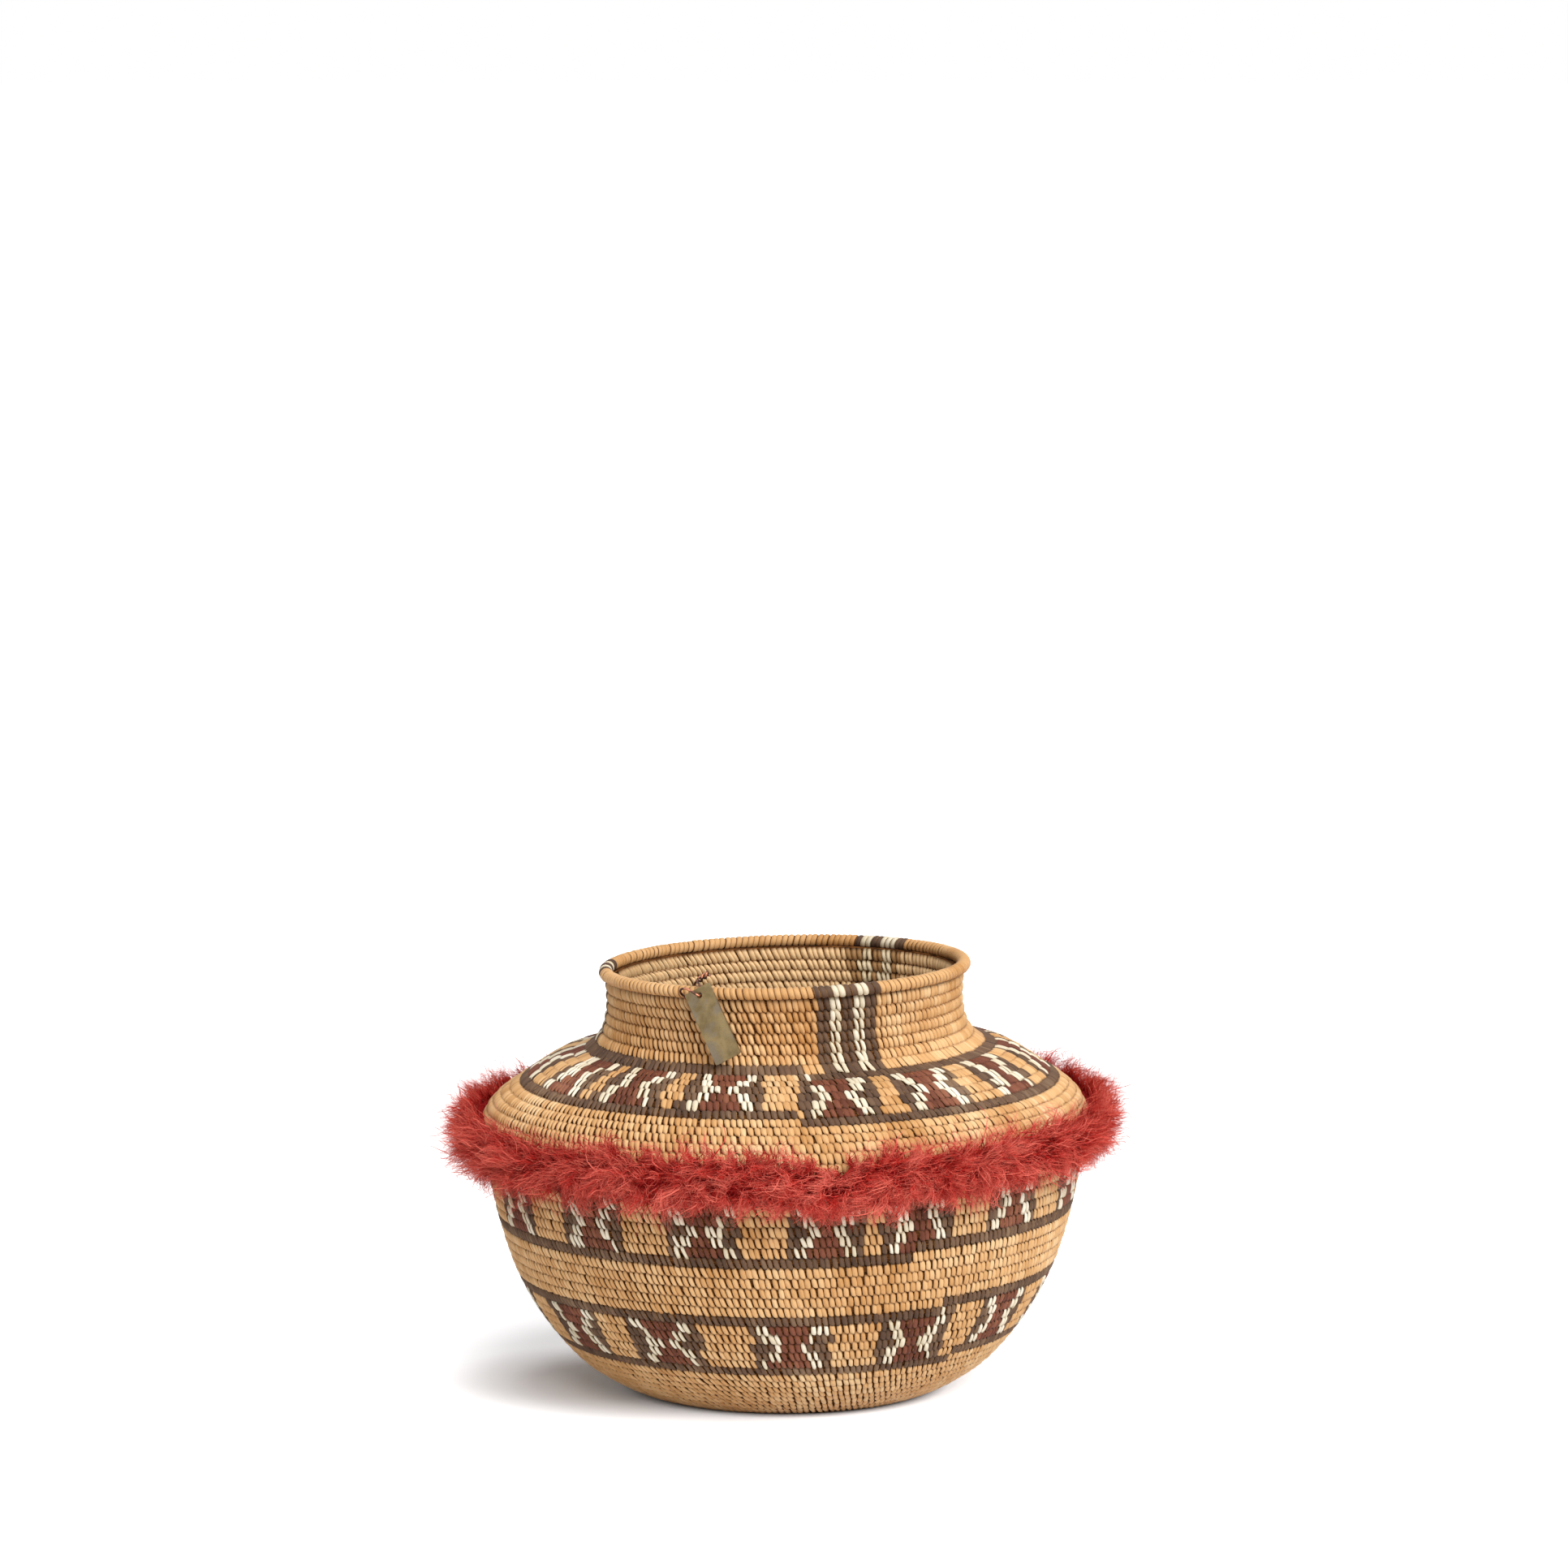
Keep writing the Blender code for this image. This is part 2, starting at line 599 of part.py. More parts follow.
def make_tag(collection, cutters, material):
    """Make the tag, a thin plate with rounded corners and a round hole, with its origin at the hole."""
    shape = bmesh.new()
    bmesh.ops.create_cube(shape, size=1.0)
    middle = TAG_HOLE_FROM_TOP - TAG_LENGTH / 2
    for vert in shape.verts:
        vert.co = Vector((vert.co.x * TAG_WIDTH, vert.co.y * TAG_LENGTH + middle, vert.co.z * TAG_THICKNESS))
    corners = [e for e in shape.edges if abs(e.verts[0].co.z - e.verts[1].co.z) > TAG_THICKNESS / 2]
    bmesh.ops.bevel(shape, geom=corners, offset=TAG_CORNER, segments=3, profile=0.5, affect="EDGES")
    mesh = bpy.data.meshes.new("tag")
    shape.to_mesh(mesh)
    shape.free()
    made = add_mesh_object("tag", mesh, collection, material)
    made.matrix_world = tag_matrix()
    drill = bmesh.new()
    bmesh.ops.create_cone(
        drill,
        cap_ends=True,
        segments=20,
        radius1=TAG_HOLE_RADIUS,
        radius2=TAG_HOLE_RADIUS,
        depth=4 * TAG_THICKNESS,
    )
    drill_mesh = bpy.data.meshes.new("tag_drill")
    drill.to_mesh(drill_mesh)
    drill.free()
    cutter = add_cutter("tag_drill", drill_mesh, cutters)
    cutter.matrix_world = tag_matrix()
    cut_with(made, cutter)
    return made


def add_cutter(name, mesh, cutters):
    """Put a cutter in the cutters' collection, out of sight."""
    cutter = add_mesh_object(name, mesh, cutters)
    cutter.hide_render = True
    cutter.display_type = "WIRE"
    return cutter


def cut_with(made, cutter):
    """Cut one object with another."""
    cut = made.modifiers.new("Cut", "BOOLEAN")
    cut.operation = "DIFFERENCE"
    cut.solver = "EXACT"
    cut.object = cutter


def cut_wire_hole(neck, cutters):
    """Cut the hole that the wire takes through the neck's top round, close under the rim coil."""
    reach = WIRE_LOOP_RADIUS + WIRE_RADIUS + WIRE_CLEARANCE
    width = WIRE_DIAMETER + 2 * WIRE_CLEARANCE
    drill = bmesh.new()
    bmesh.ops.create_cone(drill, cap_ends=True, segments=24, radius1=reach, radius2=reach, depth=width)
    mesh = bpy.data.meshes.new("wire_hole")
    drill.to_mesh(mesh)
    drill.free()
    cutter = add_cutter("wire_hole", mesh, cutters)
    lay_along = Matrix.Rotation(math.radians(90.0), 4, "Y")
    cutter.matrix_world = tag_frame() @ Matrix.Translation((-WIRE_SIDE, 0.0, -RIM_BEND / 2)) @ lay_along
    cut_with(neck, cutter)


def main():
    """Build the basket."""
    clear_scene()
    basket = new_collection("bottleneck_basket")
    cutters = new_collection("cutters")
    tan = make_material("tan_splint", TAN, 0.6)
    light_tan = make_material("light_tan_splint", LIGHT_TAN, 0.6)
    dark = make_material("dark_splint", DARK, 0.65)
    figured = make_material("figured_splint", RED_BROWN, 0.6)
    wool = make_material("red_wool", WOOL_RED, 0.95)
    brass = make_material("brass", BRASS, 0.45, 1.0)
    copper = make_material("copper_wire", COPPER, 0.4, 1.0)

    courses = [
        ("base_coils", BASE_ROUND_COUNT, BASE_COILS, tan),
        ("foot_coils", FOOT_ROUND_COUNT, RIBBED_COILS, tan),
        ("lower_band_foot_line", LINE_ROUND_COUNT, WALL_COILS, dark),
        ("lower_band_coils", LOWER_BAND_ROUND_COUNT, WALL_COILS, figured),
        ("lower_band_top_line", LINE_ROUND_COUNT, WALL_COILS, dark),
        ("belly_coils", BELLY_ROUND_COUNT, RIBBED_COILS, tan),
        ("upper_band_foot_line", LINE_ROUND_COUNT, WALL_COILS, dark),
        ("upper_band_coils", UPPER_BAND_ROUND_COUNT, WALL_COILS, figured),
        ("upper_band_top_line", LINE_ROUND_COUNT, WALL_COILS, dark),
        ("shoulder_edge_coils", EDGE_ROUND_COUNT, WALL_COILS, light_tan),
        ("shoulder_coils", SHOULDER_ROUND_COUNT, WALL_COILS, light_tan),
        ("shoulder_band_foot_line", LINE_ROUND_COUNT, WALL_COILS, dark),
        ("shoulder_band_coils", SHOULDER_BAND_ROUND_COUNT, WALL_COILS, figured),
        ("neck_foot_line", LINE_ROUND_COUNT, WALL_COILS, dark),
        ("neck_coils", NECK_ROUND_COUNT, NECK_COILS, tan),
    ]
    pieces = [make_knot(basket, tan)]
    first = 0
    for name, rounds, form, material in courses:
        course, first = make_course(name, first, rounds, form, basket, material)
        pieces.append(course)
    neck = pieces[-1]
    pieces.append(make_rim(basket, tan))
    pieces.append(make_wool(basket, wool))
    add_lean(pieces, cutters)
    cut_wire_hole(neck, cutters)
    make_wire(basket, copper)
    make_tag(basket, cutters, brass)


main()
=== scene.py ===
"""Looks of the bottleneck basket: sewn splints, wool fringe, brass tag and copper wire, in a plain studio.

Every stitch of the coiled wall is modelled, round by round, inside and out. Rounds are counted from 0 at
the start knot, and angles from the front towards +X. Metres, +Z up, front towards -Y.
"""

import json
import logging
import math
from dataclasses import dataclass
from enum import Enum

import bmesh
import bpy
import numpy as np
from mathutils import Matrix, Vector

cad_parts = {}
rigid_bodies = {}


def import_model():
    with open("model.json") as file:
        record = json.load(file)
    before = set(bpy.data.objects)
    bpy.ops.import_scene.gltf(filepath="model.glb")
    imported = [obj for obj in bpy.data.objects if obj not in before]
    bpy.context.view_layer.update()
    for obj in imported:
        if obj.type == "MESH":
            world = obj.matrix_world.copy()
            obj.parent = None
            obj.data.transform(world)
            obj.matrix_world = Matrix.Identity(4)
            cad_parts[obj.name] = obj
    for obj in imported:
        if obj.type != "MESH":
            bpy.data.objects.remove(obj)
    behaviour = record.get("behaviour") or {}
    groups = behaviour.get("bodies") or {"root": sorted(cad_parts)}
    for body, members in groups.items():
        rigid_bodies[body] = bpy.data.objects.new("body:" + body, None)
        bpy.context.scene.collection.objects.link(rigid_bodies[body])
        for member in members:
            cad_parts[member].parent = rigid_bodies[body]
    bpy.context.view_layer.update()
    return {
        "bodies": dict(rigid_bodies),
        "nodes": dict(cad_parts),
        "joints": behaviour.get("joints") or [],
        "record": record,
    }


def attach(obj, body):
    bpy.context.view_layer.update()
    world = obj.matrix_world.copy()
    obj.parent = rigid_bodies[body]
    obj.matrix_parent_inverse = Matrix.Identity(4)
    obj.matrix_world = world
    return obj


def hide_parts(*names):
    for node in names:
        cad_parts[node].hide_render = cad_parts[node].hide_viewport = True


LOG = logging.getLogger("basket")
MM = 0.001
SEED = 1904
MARK = "mark"

Array = np.ndarray
Shares = tuple[float, ...]
Spot = tuple[float, float, float]
Material = bpy.types.Material
Node = bpy.types.Node
Object = bpy.types.Object
Socket = bpy.types.NodeSocket
Tree = bpy.types.NodeTree
Random = np.random.Generator
Source = Node | Socket | str | float | Shares


# Small tools


def linear(colour: str) -> tuple[float, float, float, float]:
    """Turn an sRGB hex colour into linear light.

    Args:
        colour: Six hex digits, such as "D6A76E".

    Returns:
        Red, green, blue and an alpha of 1.
    """
    parts = [int(colour[i : i + 2], 16) / 255 for i in (0, 2, 4)]
    bright = [p / 12.92 if p <= 0.04045 else ((p + 0.055) / 1.055) ** 2.4 for p in parts]
    return (bright[0], bright[1], bright[2], 1.0)


def set_inputs(node: Node, inputs: dict[int | str, Source] | list[Source]) -> None:
    """Link or set a node's inputs.

    Args:
        node: The node.
        inputs: What each input gets, in order or by its number or name. A node gives its first output, and
            a text is an sRGB hex colour.
    """
    pairs = inputs.items() if isinstance(inputs, dict) else enumerate(inputs)
    for key, source in pairs:
        if isinstance(source, Node):
            source = source.outputs[0]
        if isinstance(source, Socket):
            node.id_data.links.new(source, node.inputs[key])
        else:
            node.inputs[key].default_value = linear(source) if isinstance(source, str) else source


def add_node(
    tree: Tree,
    kind: str,
    inputs: dict[int | str, Source] | list[Source] | None = None,
    stops: tuple[tuple[float, str], ...] = (),
    **settings: object,
) -> Node:
    """Add a node with its settings and links.

    Args:
        tree: The node tree.
        kind: The node's type without its prefix, such as "Mix".
        inputs: What its inputs get, as set_inputs takes it.
        stops: Position and sRGB hex colour of each stop, where it is a colour ramp.
        **settings: Its own properties, such as operation="ADD".

    Returns:
        The new node.
    """
    node = tree.nodes.new(f"ShaderNode{kind}")
    for name, value in settings.items():
        setattr(node, name, value)
    set_inputs(node, inputs or [])
    if stops:
        elements = node.color_ramp.elements
        while len(elements) < len(stops):
            elements.new(0.5)
        for element, (position, colour) in zip(elements, stops):
            element.position = position
            element.color = linear(colour)
    return node


def new_material(name: str) -> tuple[Material, Tree, Node]:
    """Make a material with its Principled shader.

    Args:
        name: The material's name.

    Returns:
        The material, its node tree and the shader.
    """
    material = bpy.data.materials.new(name)
    material.use_nodes = True
    return material, material.node_tree, material.node_tree.nodes["Principled BSDF"]


def link_object(name: str, data: bpy.types.ID) -> Object:
    """Make an object.

    Args:
        name: The object's name.
        data: What it shows, such as a mesh or a lamp.

    Returns:
        The object, linked to the scene.
    """
    made = bpy.data.objects.new(name, data)
    bpy.context.scene.collection.objects.link(made)
    return made


def link_shape(name: str, shape: bmesh.types.BMesh) -> Object:
    """Make a mesh object of a shape that is then done with.

    Args:
        name: The object's name.
        shape: The shape, which is freed.

    Returns:
        The object, linked to the scene.
    """
    mesh = bpy.data.meshes.new(name)
    shape.to_mesh(mesh)
    shape.free()
    return link_object(name, mesh)


def link_mesh(
    name: str,
    points: Array,
    quads: Array,
    materials: list[Material],
    slots: Array | None = None,
    marks: Array | None = None,
) -> Object:
    """Make a smooth mesh object of four-sided faces.

    Args:
        name: The object's name.
        points: x, y and z of each point, in its last axis.
        quads: One row of four point numbers for each face.
        materials: The materials, in slot order.
        slots: Material slot of each face.
        marks: One row of four numbers for each point, kept as an attribute for the materials.

    Returns:
        The object, linked to the scene.
    """
    mesh = bpy.data.meshes.new(name)
    mesh.vertices.add(points.size // 3)
    mesh.vertices.foreach_set("co", points.astype(np.float32).ravel())
    mesh.loops.add(quads.size)
    mesh.loops.foreach_set("vertex_index", quads.astype(np.int32).ravel())
    mesh.polygons.add(len(quads))
    mesh.polygons.foreach_set("loop_start", np.arange(0, quads.size, 4, dtype=np.int32))
    for material in materials:
        mesh.materials.append(material)
    if slots is not None:
        mesh.polygons.foreach_set("material_index", slots.astype(np.int32))
    mesh.update(calc_edges=True)
    mesh.validate()
    if marks is not None:
        attribute = mesh.attributes.new(MARK, "FLOAT_COLOR", "POINT")
        attribute.data.foreach_set("color", marks.astype(np.float32).ravel())
    mesh.shade_smooth()
    return link_object(name, mesh)


def turns_of(count: int) -> Array:
    """Angles that divide a circle into equal parts."""
    return np.arange(count) * math.tau / count


def wrapped(angle: Array) -> Array:
    """Bring angles to between -pi and pi."""
    return (angle + math.pi) % math.tau - math.pi


def grid_quads(count: int, rows: int, columns: int, wrap: bool = False, closed: bool = False) -> Array:
    """Faces of many equal grids of points.

    Args:
        count: How many grids.
        rows: Points along each.
        columns: Points across each.
        wrap: Whether the last column joins the first.
        closed: Whether the last row joins the first.

    Returns:
        One row of four point numbers for each face.
    """
    spans = np.arange(rows if closed else rows - 1), np.arange(columns if wrap else columns - 1)
    row, column = np.meshgrid(*spans, indexing="ij")
    here, above = row * columns, (row + 1) % rows * columns
    after = (column + 1) % columns
    one = np.stack([here + column, here + after, above + after, above + column], axis=-1).reshape(-1, 4)
    return (np.arange(count)[:, None, None] * rows * columns + one[None]).reshape(-1, 4)


def stitch_marks(own: Array, rows: int, columns: int) -> Array:
    """Marks of stitches for the materials.

    Args:
        own: Each stitch's own number, from 0 to 1.
        rows: Points along each stitch.
        columns: Points across each stitch.

    Returns:
        For each point its stitch's number, its place along and across the stitch, and 1 for the outer side.
    """
    along = np.repeat(np.linspace(0, 1, rows), columns)
    across = np.tile(np.linspace(0, 1, columns), rows)
    size = rows * columns
    count = len(own)
    marks = [np.repeat(own, size), np.tile(along, count), np.tile(across, count), np.ones(count * size)]
    return np.stack(marks, axis=-1)


def link_parts(name: str, parts: list[tuple[Array, ...]], materials: list[Material]) -> Object:
    """Make one mesh object of several parts.

    Args:
        name: The object's name.
        parts: Points, faces, slots of the faces and marks of the points, for each part.
        materials: The materials, in slot order.

    Returns:
        The object, linked to the scene.
    """
    points, quads, slots, marks = zip(*parts)
    points = [one.reshape(-1, 3) for one in points]
    starts = np.cumsum([0, *map(len, points)])
    quads = [faces + start for faces, start in zip(quads, starts)]
    points, quads, slots, marks = map(np.concatenate, (points, quads, slots, marks))
    return link_mesh(name, points, quads, materials, slots, marks)


# The wall's shape, as in the solids


@dataclass(frozen=True)
class Stretch:
    """A stretch of the wall: how many rounds it has, and how far it runs outward and rises, in mm."""

    rounds: float
    run: float
    rise: float


WALL = (
    Stretch(5.30, 19.1, 8.0),  # foot
    Stretch(5.20, 12.7, 12.3),  # lower wall
    Stretch(6.00, 12.1, 19.3),  # belly
    Stretch(6.00, 7.1, 20.8),  # upper wall
    Stretch(6.00, 4.3, 21.6),  # under the shoulder
    Stretch(3.00, 1.9, 10.4),  # shoulder's edge
    Stretch(1.30, -1.8, 4.8),  # turn of the shoulder
    Stretch(4.70, -13.5, 11.6),  # shoulder
    Stretch(3.00, -10.4, 6.4),  # top of the shoulder
    Stretch(3.00, -12.0, 4.3),  # rise to the neck
    Stretch(1.00, -2.7, 3.0),  # foot of the neck
    Stretch(1.99, -2.3, 6.5),  # waist of the neck
    Stretch(3.51, -0.1, 12.2),  # top of the neck
)


@dataclass
class Shape:
    """The wall's outer line: stretches of known run and rise, joined by one smooth curve.

    Attributes:
        rim_radius: Radius of the rim coil's middle line.
        rim_coil: Half the rim coil's thickness.
        lean: How much higher the rim stands at lean_reach to the right, because the basket has settled.
    """

    thickness: float = 3.7 * MM
    knot_radius: float = 4.6 * MM
    base_rounds: int = 11
    base_radius: float = 46.5 * MM
    wall_rounds: int = 61
    rim_radius: float = 60.8 * MM
    rim_height: float = 143.8 * MM
    rim_coil: float = 2.3 * MM
    lean: float = 2.6 * MM
    lean_reach: float = 100.0 * MM
    stretches: tuple[Stretch, ...] = WALL

    def __post_init__(self) -> None:
        """Lay out the places between the stretches, and the line's slope at each."""
        sizes = [(s.rounds, s.run * MM, s.rise * MM) for s in self.stretches]
        places = np.cumsum([(self.base_rounds, self.base_radius, 0.0), *sizes], axis=0)
        self.rounds, self.points = places[:, 0], places[:, 1:]
        spans = np.diff(self.rounds)
        steps = np.diff(self.points, axis=0) / spans[:, None]
        slopes = [np.array([self.base_pitch, 0.0])]
        for k in range(1, len(steps)):
            slopes.append((steps[k - 1] * spans[k] + steps[k] * spans[k - 1]) / (spans[k - 1] + spans[k]))
        self.slopes = np.array([*slopes, steps[-1]])

    @property
    def base_pitch(self) -> float:
        """Width of a round in the base."""
        return (self.base_radius - self.knot_radius) / self.base_rounds

    def line(self, rounds: Array) -> tuple[Array, Array]:
        """Follow the wall's outer line.

        Args:
            rounds: How many rounds up the wall, at any number of places.

        Returns:
            Radius and height at each place, and the unit direction into the wall there.
        """
        flat = np.asarray(rounds, float)
        k = np.clip(np.searchsorted(self.rounds, flat, side="right") - 1, 0, len(self.rounds) - 2)
        span = self.rounds[k + 1] - self.rounds[k]
        # The curve runs on a little past its last place, into the rim
        t = np.clip((flat - self.rounds[k]) / span, 0.0, 1.25)[..., None]
        p0, p1 = self.points[k], self.points[k + 1]
        m0, m1 = self.slopes[k] * span[..., None], self.slopes[k + 1] * span[..., None]
        point = p0 * (2 * t**3 - 3 * t**2 + 1) + m0 * (t**3 - 2 * t**2 + t) + p1 * (3 * t**2 - 2 * t**3)
        point = point + m1 * (t**3 - t**2)
        slope = (p0 - p1) * (6 * t**2 - 6 * t) + m0 * (3 * t**2 - 4 * t + 1) + m1 * (3 * t**2 - 2 * t)
        in_base = (flat <= self.base_rounds)[..., None]
        base = np.stack([self.knot_radius + flat * self.base_pitch, np.zeros_like(flat)], axis=-1)
        point = np.where(in_base, base, point)
        slope = np.where(in_base, np.array([1.0, 0.0]), slope)
        ahead = slope / np.linalg.norm(slope, axis=-1, keepdims=True)
        return point, np.stack([-ahead[..., 1], ahead[..., 0]], axis=-1)

    def place(self, rounds: Array, depth: Array, angle: Array) -> Array:
        """Find points in the wall.

        Args:
            rounds: How many rounds up the wall.
            depth: How deep in the wall, from its outer line.
            angle: Where round the basket.

        Returns:
            The points' x, y and z, in the leaned basket.
        """
        rounds, depth, angle = np.broadcast_arrays(rounds, depth, angle)
        line, inward = self.line(rounds)
        flat = line + inward * depth[..., None]
        return self.leaned(flat[..., 0], angle, flat[..., 1])

    def leaned(self, radius: Array, angle: Array, height: Array) -> Array:
        """Turn radius, angle and height into points of the basket, which has settled to its left.

        Args:
            radius: Distance from the basket's axis.
            angle: Where round the basket.
            height: Height before the lean.

        Returns:
            The points' x, y and z.
        """
        radius, angle, height = np.broadcast_arrays(radius, angle, height)
        x = radius * np.sin(angle)
        y = -radius * np.cos(angle)
        z = height + self.lean * (x / self.lean_reach) * (height / self.rim_height)
        return np.stack([x, y, z], axis=-1)

    def angle_frame(self, angle: float, radius: float, height: float) -> Matrix:
        """Frame at a place on a level circle of the leaned basket.

        Args:
            angle: Where round the basket.
            radius: The circle's radius.
            height: The circle's height before the lean.

        Returns:
            A matrix with x along the circle, y up and z outward.
        """
        small = 0.001
        spot, ahead, behind = (Vector(self.leaned(radius, angle + d, height)) for d in (0, small, -small))
        along = (ahead - behind).normalized()
        out = Vector((math.sin(angle), -math.cos(angle), 0.0))
        out = (out - along * along.dot(out)).normalized()
        frame = Matrix((along, out.cross(along), out)).transposed().to_4x4()
        frame.translation = spot
        return frame


# The sewn pattern


class Splint(Enum):
    """Which splint a stitch is sewn with, in material slot order."""

    TAN = 0
    DARK = 1
    RED = 2
    WHITE = 3


# How much of its room along the round each kind of splint fills
SPLINT_WIDTHS = {Splint.TAN: 1.0, Splint.DARK: 0.94, Splint.RED: 0.97, Splint.WHITE: 0.84}
# The rows of a figure name each stitch's splint by the first letter of its name
LETTERS = {splint.name[0]: splint.value for splint in Splint}


@dataclass(frozen=True)
class Band:
    """A band of hourglass figures, five rounds high.

    Attributes:
        first: Its lowest round.
        centres: Angle of each figure seen in front, in degrees.
        spacing: Angle between the figures that are out of sight.
    """

    first: int
    centres: Shares
    spacing: float

    def all_centres(self) -> Array:
        """Lay out the figures that are out of sight too.

        Returns:
            Angles of all the figures round the basket, in radians.
        """
        high = self.centres[-1]
        hidden = 360.0 - (high - self.centres[0])
        gaps = max(1, round(hidden / self.spacing))
        back = [high + hidden * k / gaps for k in range(1, gaps)]
        return np.radians([*self.centres, *back])


@dataclass(frozen=True)
class Jog:
    """Where a pattern steps by one round, because the wall is one rising coil.

    Attributes:
        first: Lowest round that it holds for.
        last: Highest round that it holds for.
        start: Where it steps, in degrees.
        step: By how many rounds, right of that place.
        end: Where it steps back, out of sight and between two figures, in degrees.
    """

    first: int
    last: int
    start: float
    step: int
    end: float

    def holds(self, angles: Array) -> Array:
        """Which angles, in radians, lie between its start and its end."""
        span = math.radians(self.end - self.start) % math.tau
        return (angles - math.radians(self.start)) % math.tau < span


@dataclass
class Pattern:
    """Which splint each stitch of the wall is sewn with.

    Attributes:
        figure_rows: Rows of an hourglass figure, from its top down.
        slip: Usual slip of a stitch at the edge of a figure, in stitches.
    """

    dark_rounds: tuple[int, ...] = (21, 27, 33, 39, 48, 54)
    bands: tuple[Band, ...] = (
        Band(22, (-83.0, -54.8, -27.6, 1.4, 30.2, 55.5, 82.0), 28.0),
        Band(34, (-65.0, -40.0, -16.0, 8.0, 26.2, 49.6, 74.0), 24.0),
        Band(49, (-62.0, -39.0, -15.0, 12.5, 36.0, 62.0), 25.0),
    )
    jogs: tuple[Jog, ...] = (
        Jog(18, 24, 44.0, 1, 151.6),
        Jog(25, 30, 35.0, 1, 151.6),
        Jog(31, 39, 26.0, 1, 184.5),
        Jog(45, 51, 3.2, -1, 206.2),
        Jog(52, 56, 6.0, -1, 206.2),
    )
    figure_rows: tuple[str, ...] = (
        "DWWRRRRRRWWD",
        "DDWWRRRRWWDD",
        "DDDWWRRWWDDD",
        "DDWWRRRRWWDD",
        "DWWRRRRRRWWD",
    )
    stripe: str = "DDWWDDWWDD"
    stripe_angles: Shares = (20.0, 147.0, -93.5)
    neck_first: int = 55
    slip: float = 0.16

    def row_at(self, row: int, angles: Array) -> Array:
        """Row of the pattern that a round shows, with its jogs.

        Args:
            row: The round.
            angles: Angles of its stitches.

        Returns:
            The pattern's row for each stitch.
        """
        shown = np.full(angles.shape, row)
        for jog in self.jogs:
            if jog.first <= row <= jog.last:
                shown = np.where(jog.holds(angles), row - jog.step, shown)
        return shown

    def splints(self, row: int, angles: Array, density: float, rng: Random) -> Array:
        """Choose the splint of each stitch of a round.

        Args:
            row: The round.
            angles: Angles of its stitches, from -pi to pi.
            density: How many stitches a radian of the round holds.
            rng: Source of the weaver's small slips at the edges of a figure.

        Returns:
            Splint number of each stitch.
        """
        shown = self.row_at(row, angles)
        slips = rng.normal(0.0, self.slip, angles.shape)
        chosen = np.where(np.isin(shown, self.dark_rounds), Splint.DARK.value, Splint.TAN.value)
        sewn = [
            (shown == band.first + level, letters, band.all_centres())
            for band in self.bands
            for level, letters in enumerate(reversed(self.figure_rows))
        ]
        sewn.append((shown >= self.neck_first, self.stripe, np.radians(self.stripe_angles)))
        for where, letters, centres in sewn:
            codes = np.array([LETTERS[letter] for letter in letters])
            for centre in centres:
                off = wrapped(angles - centre)
                number = np.floor(off * density + len(letters) / 2 + slips).astype(int)
                inside = where & (number >= 0) & (number < len(letters))
                chosen = np.where(inside, codes[np.clip(number, 0, len(letters) - 1)], chosen)
        return chosen


# Finishes


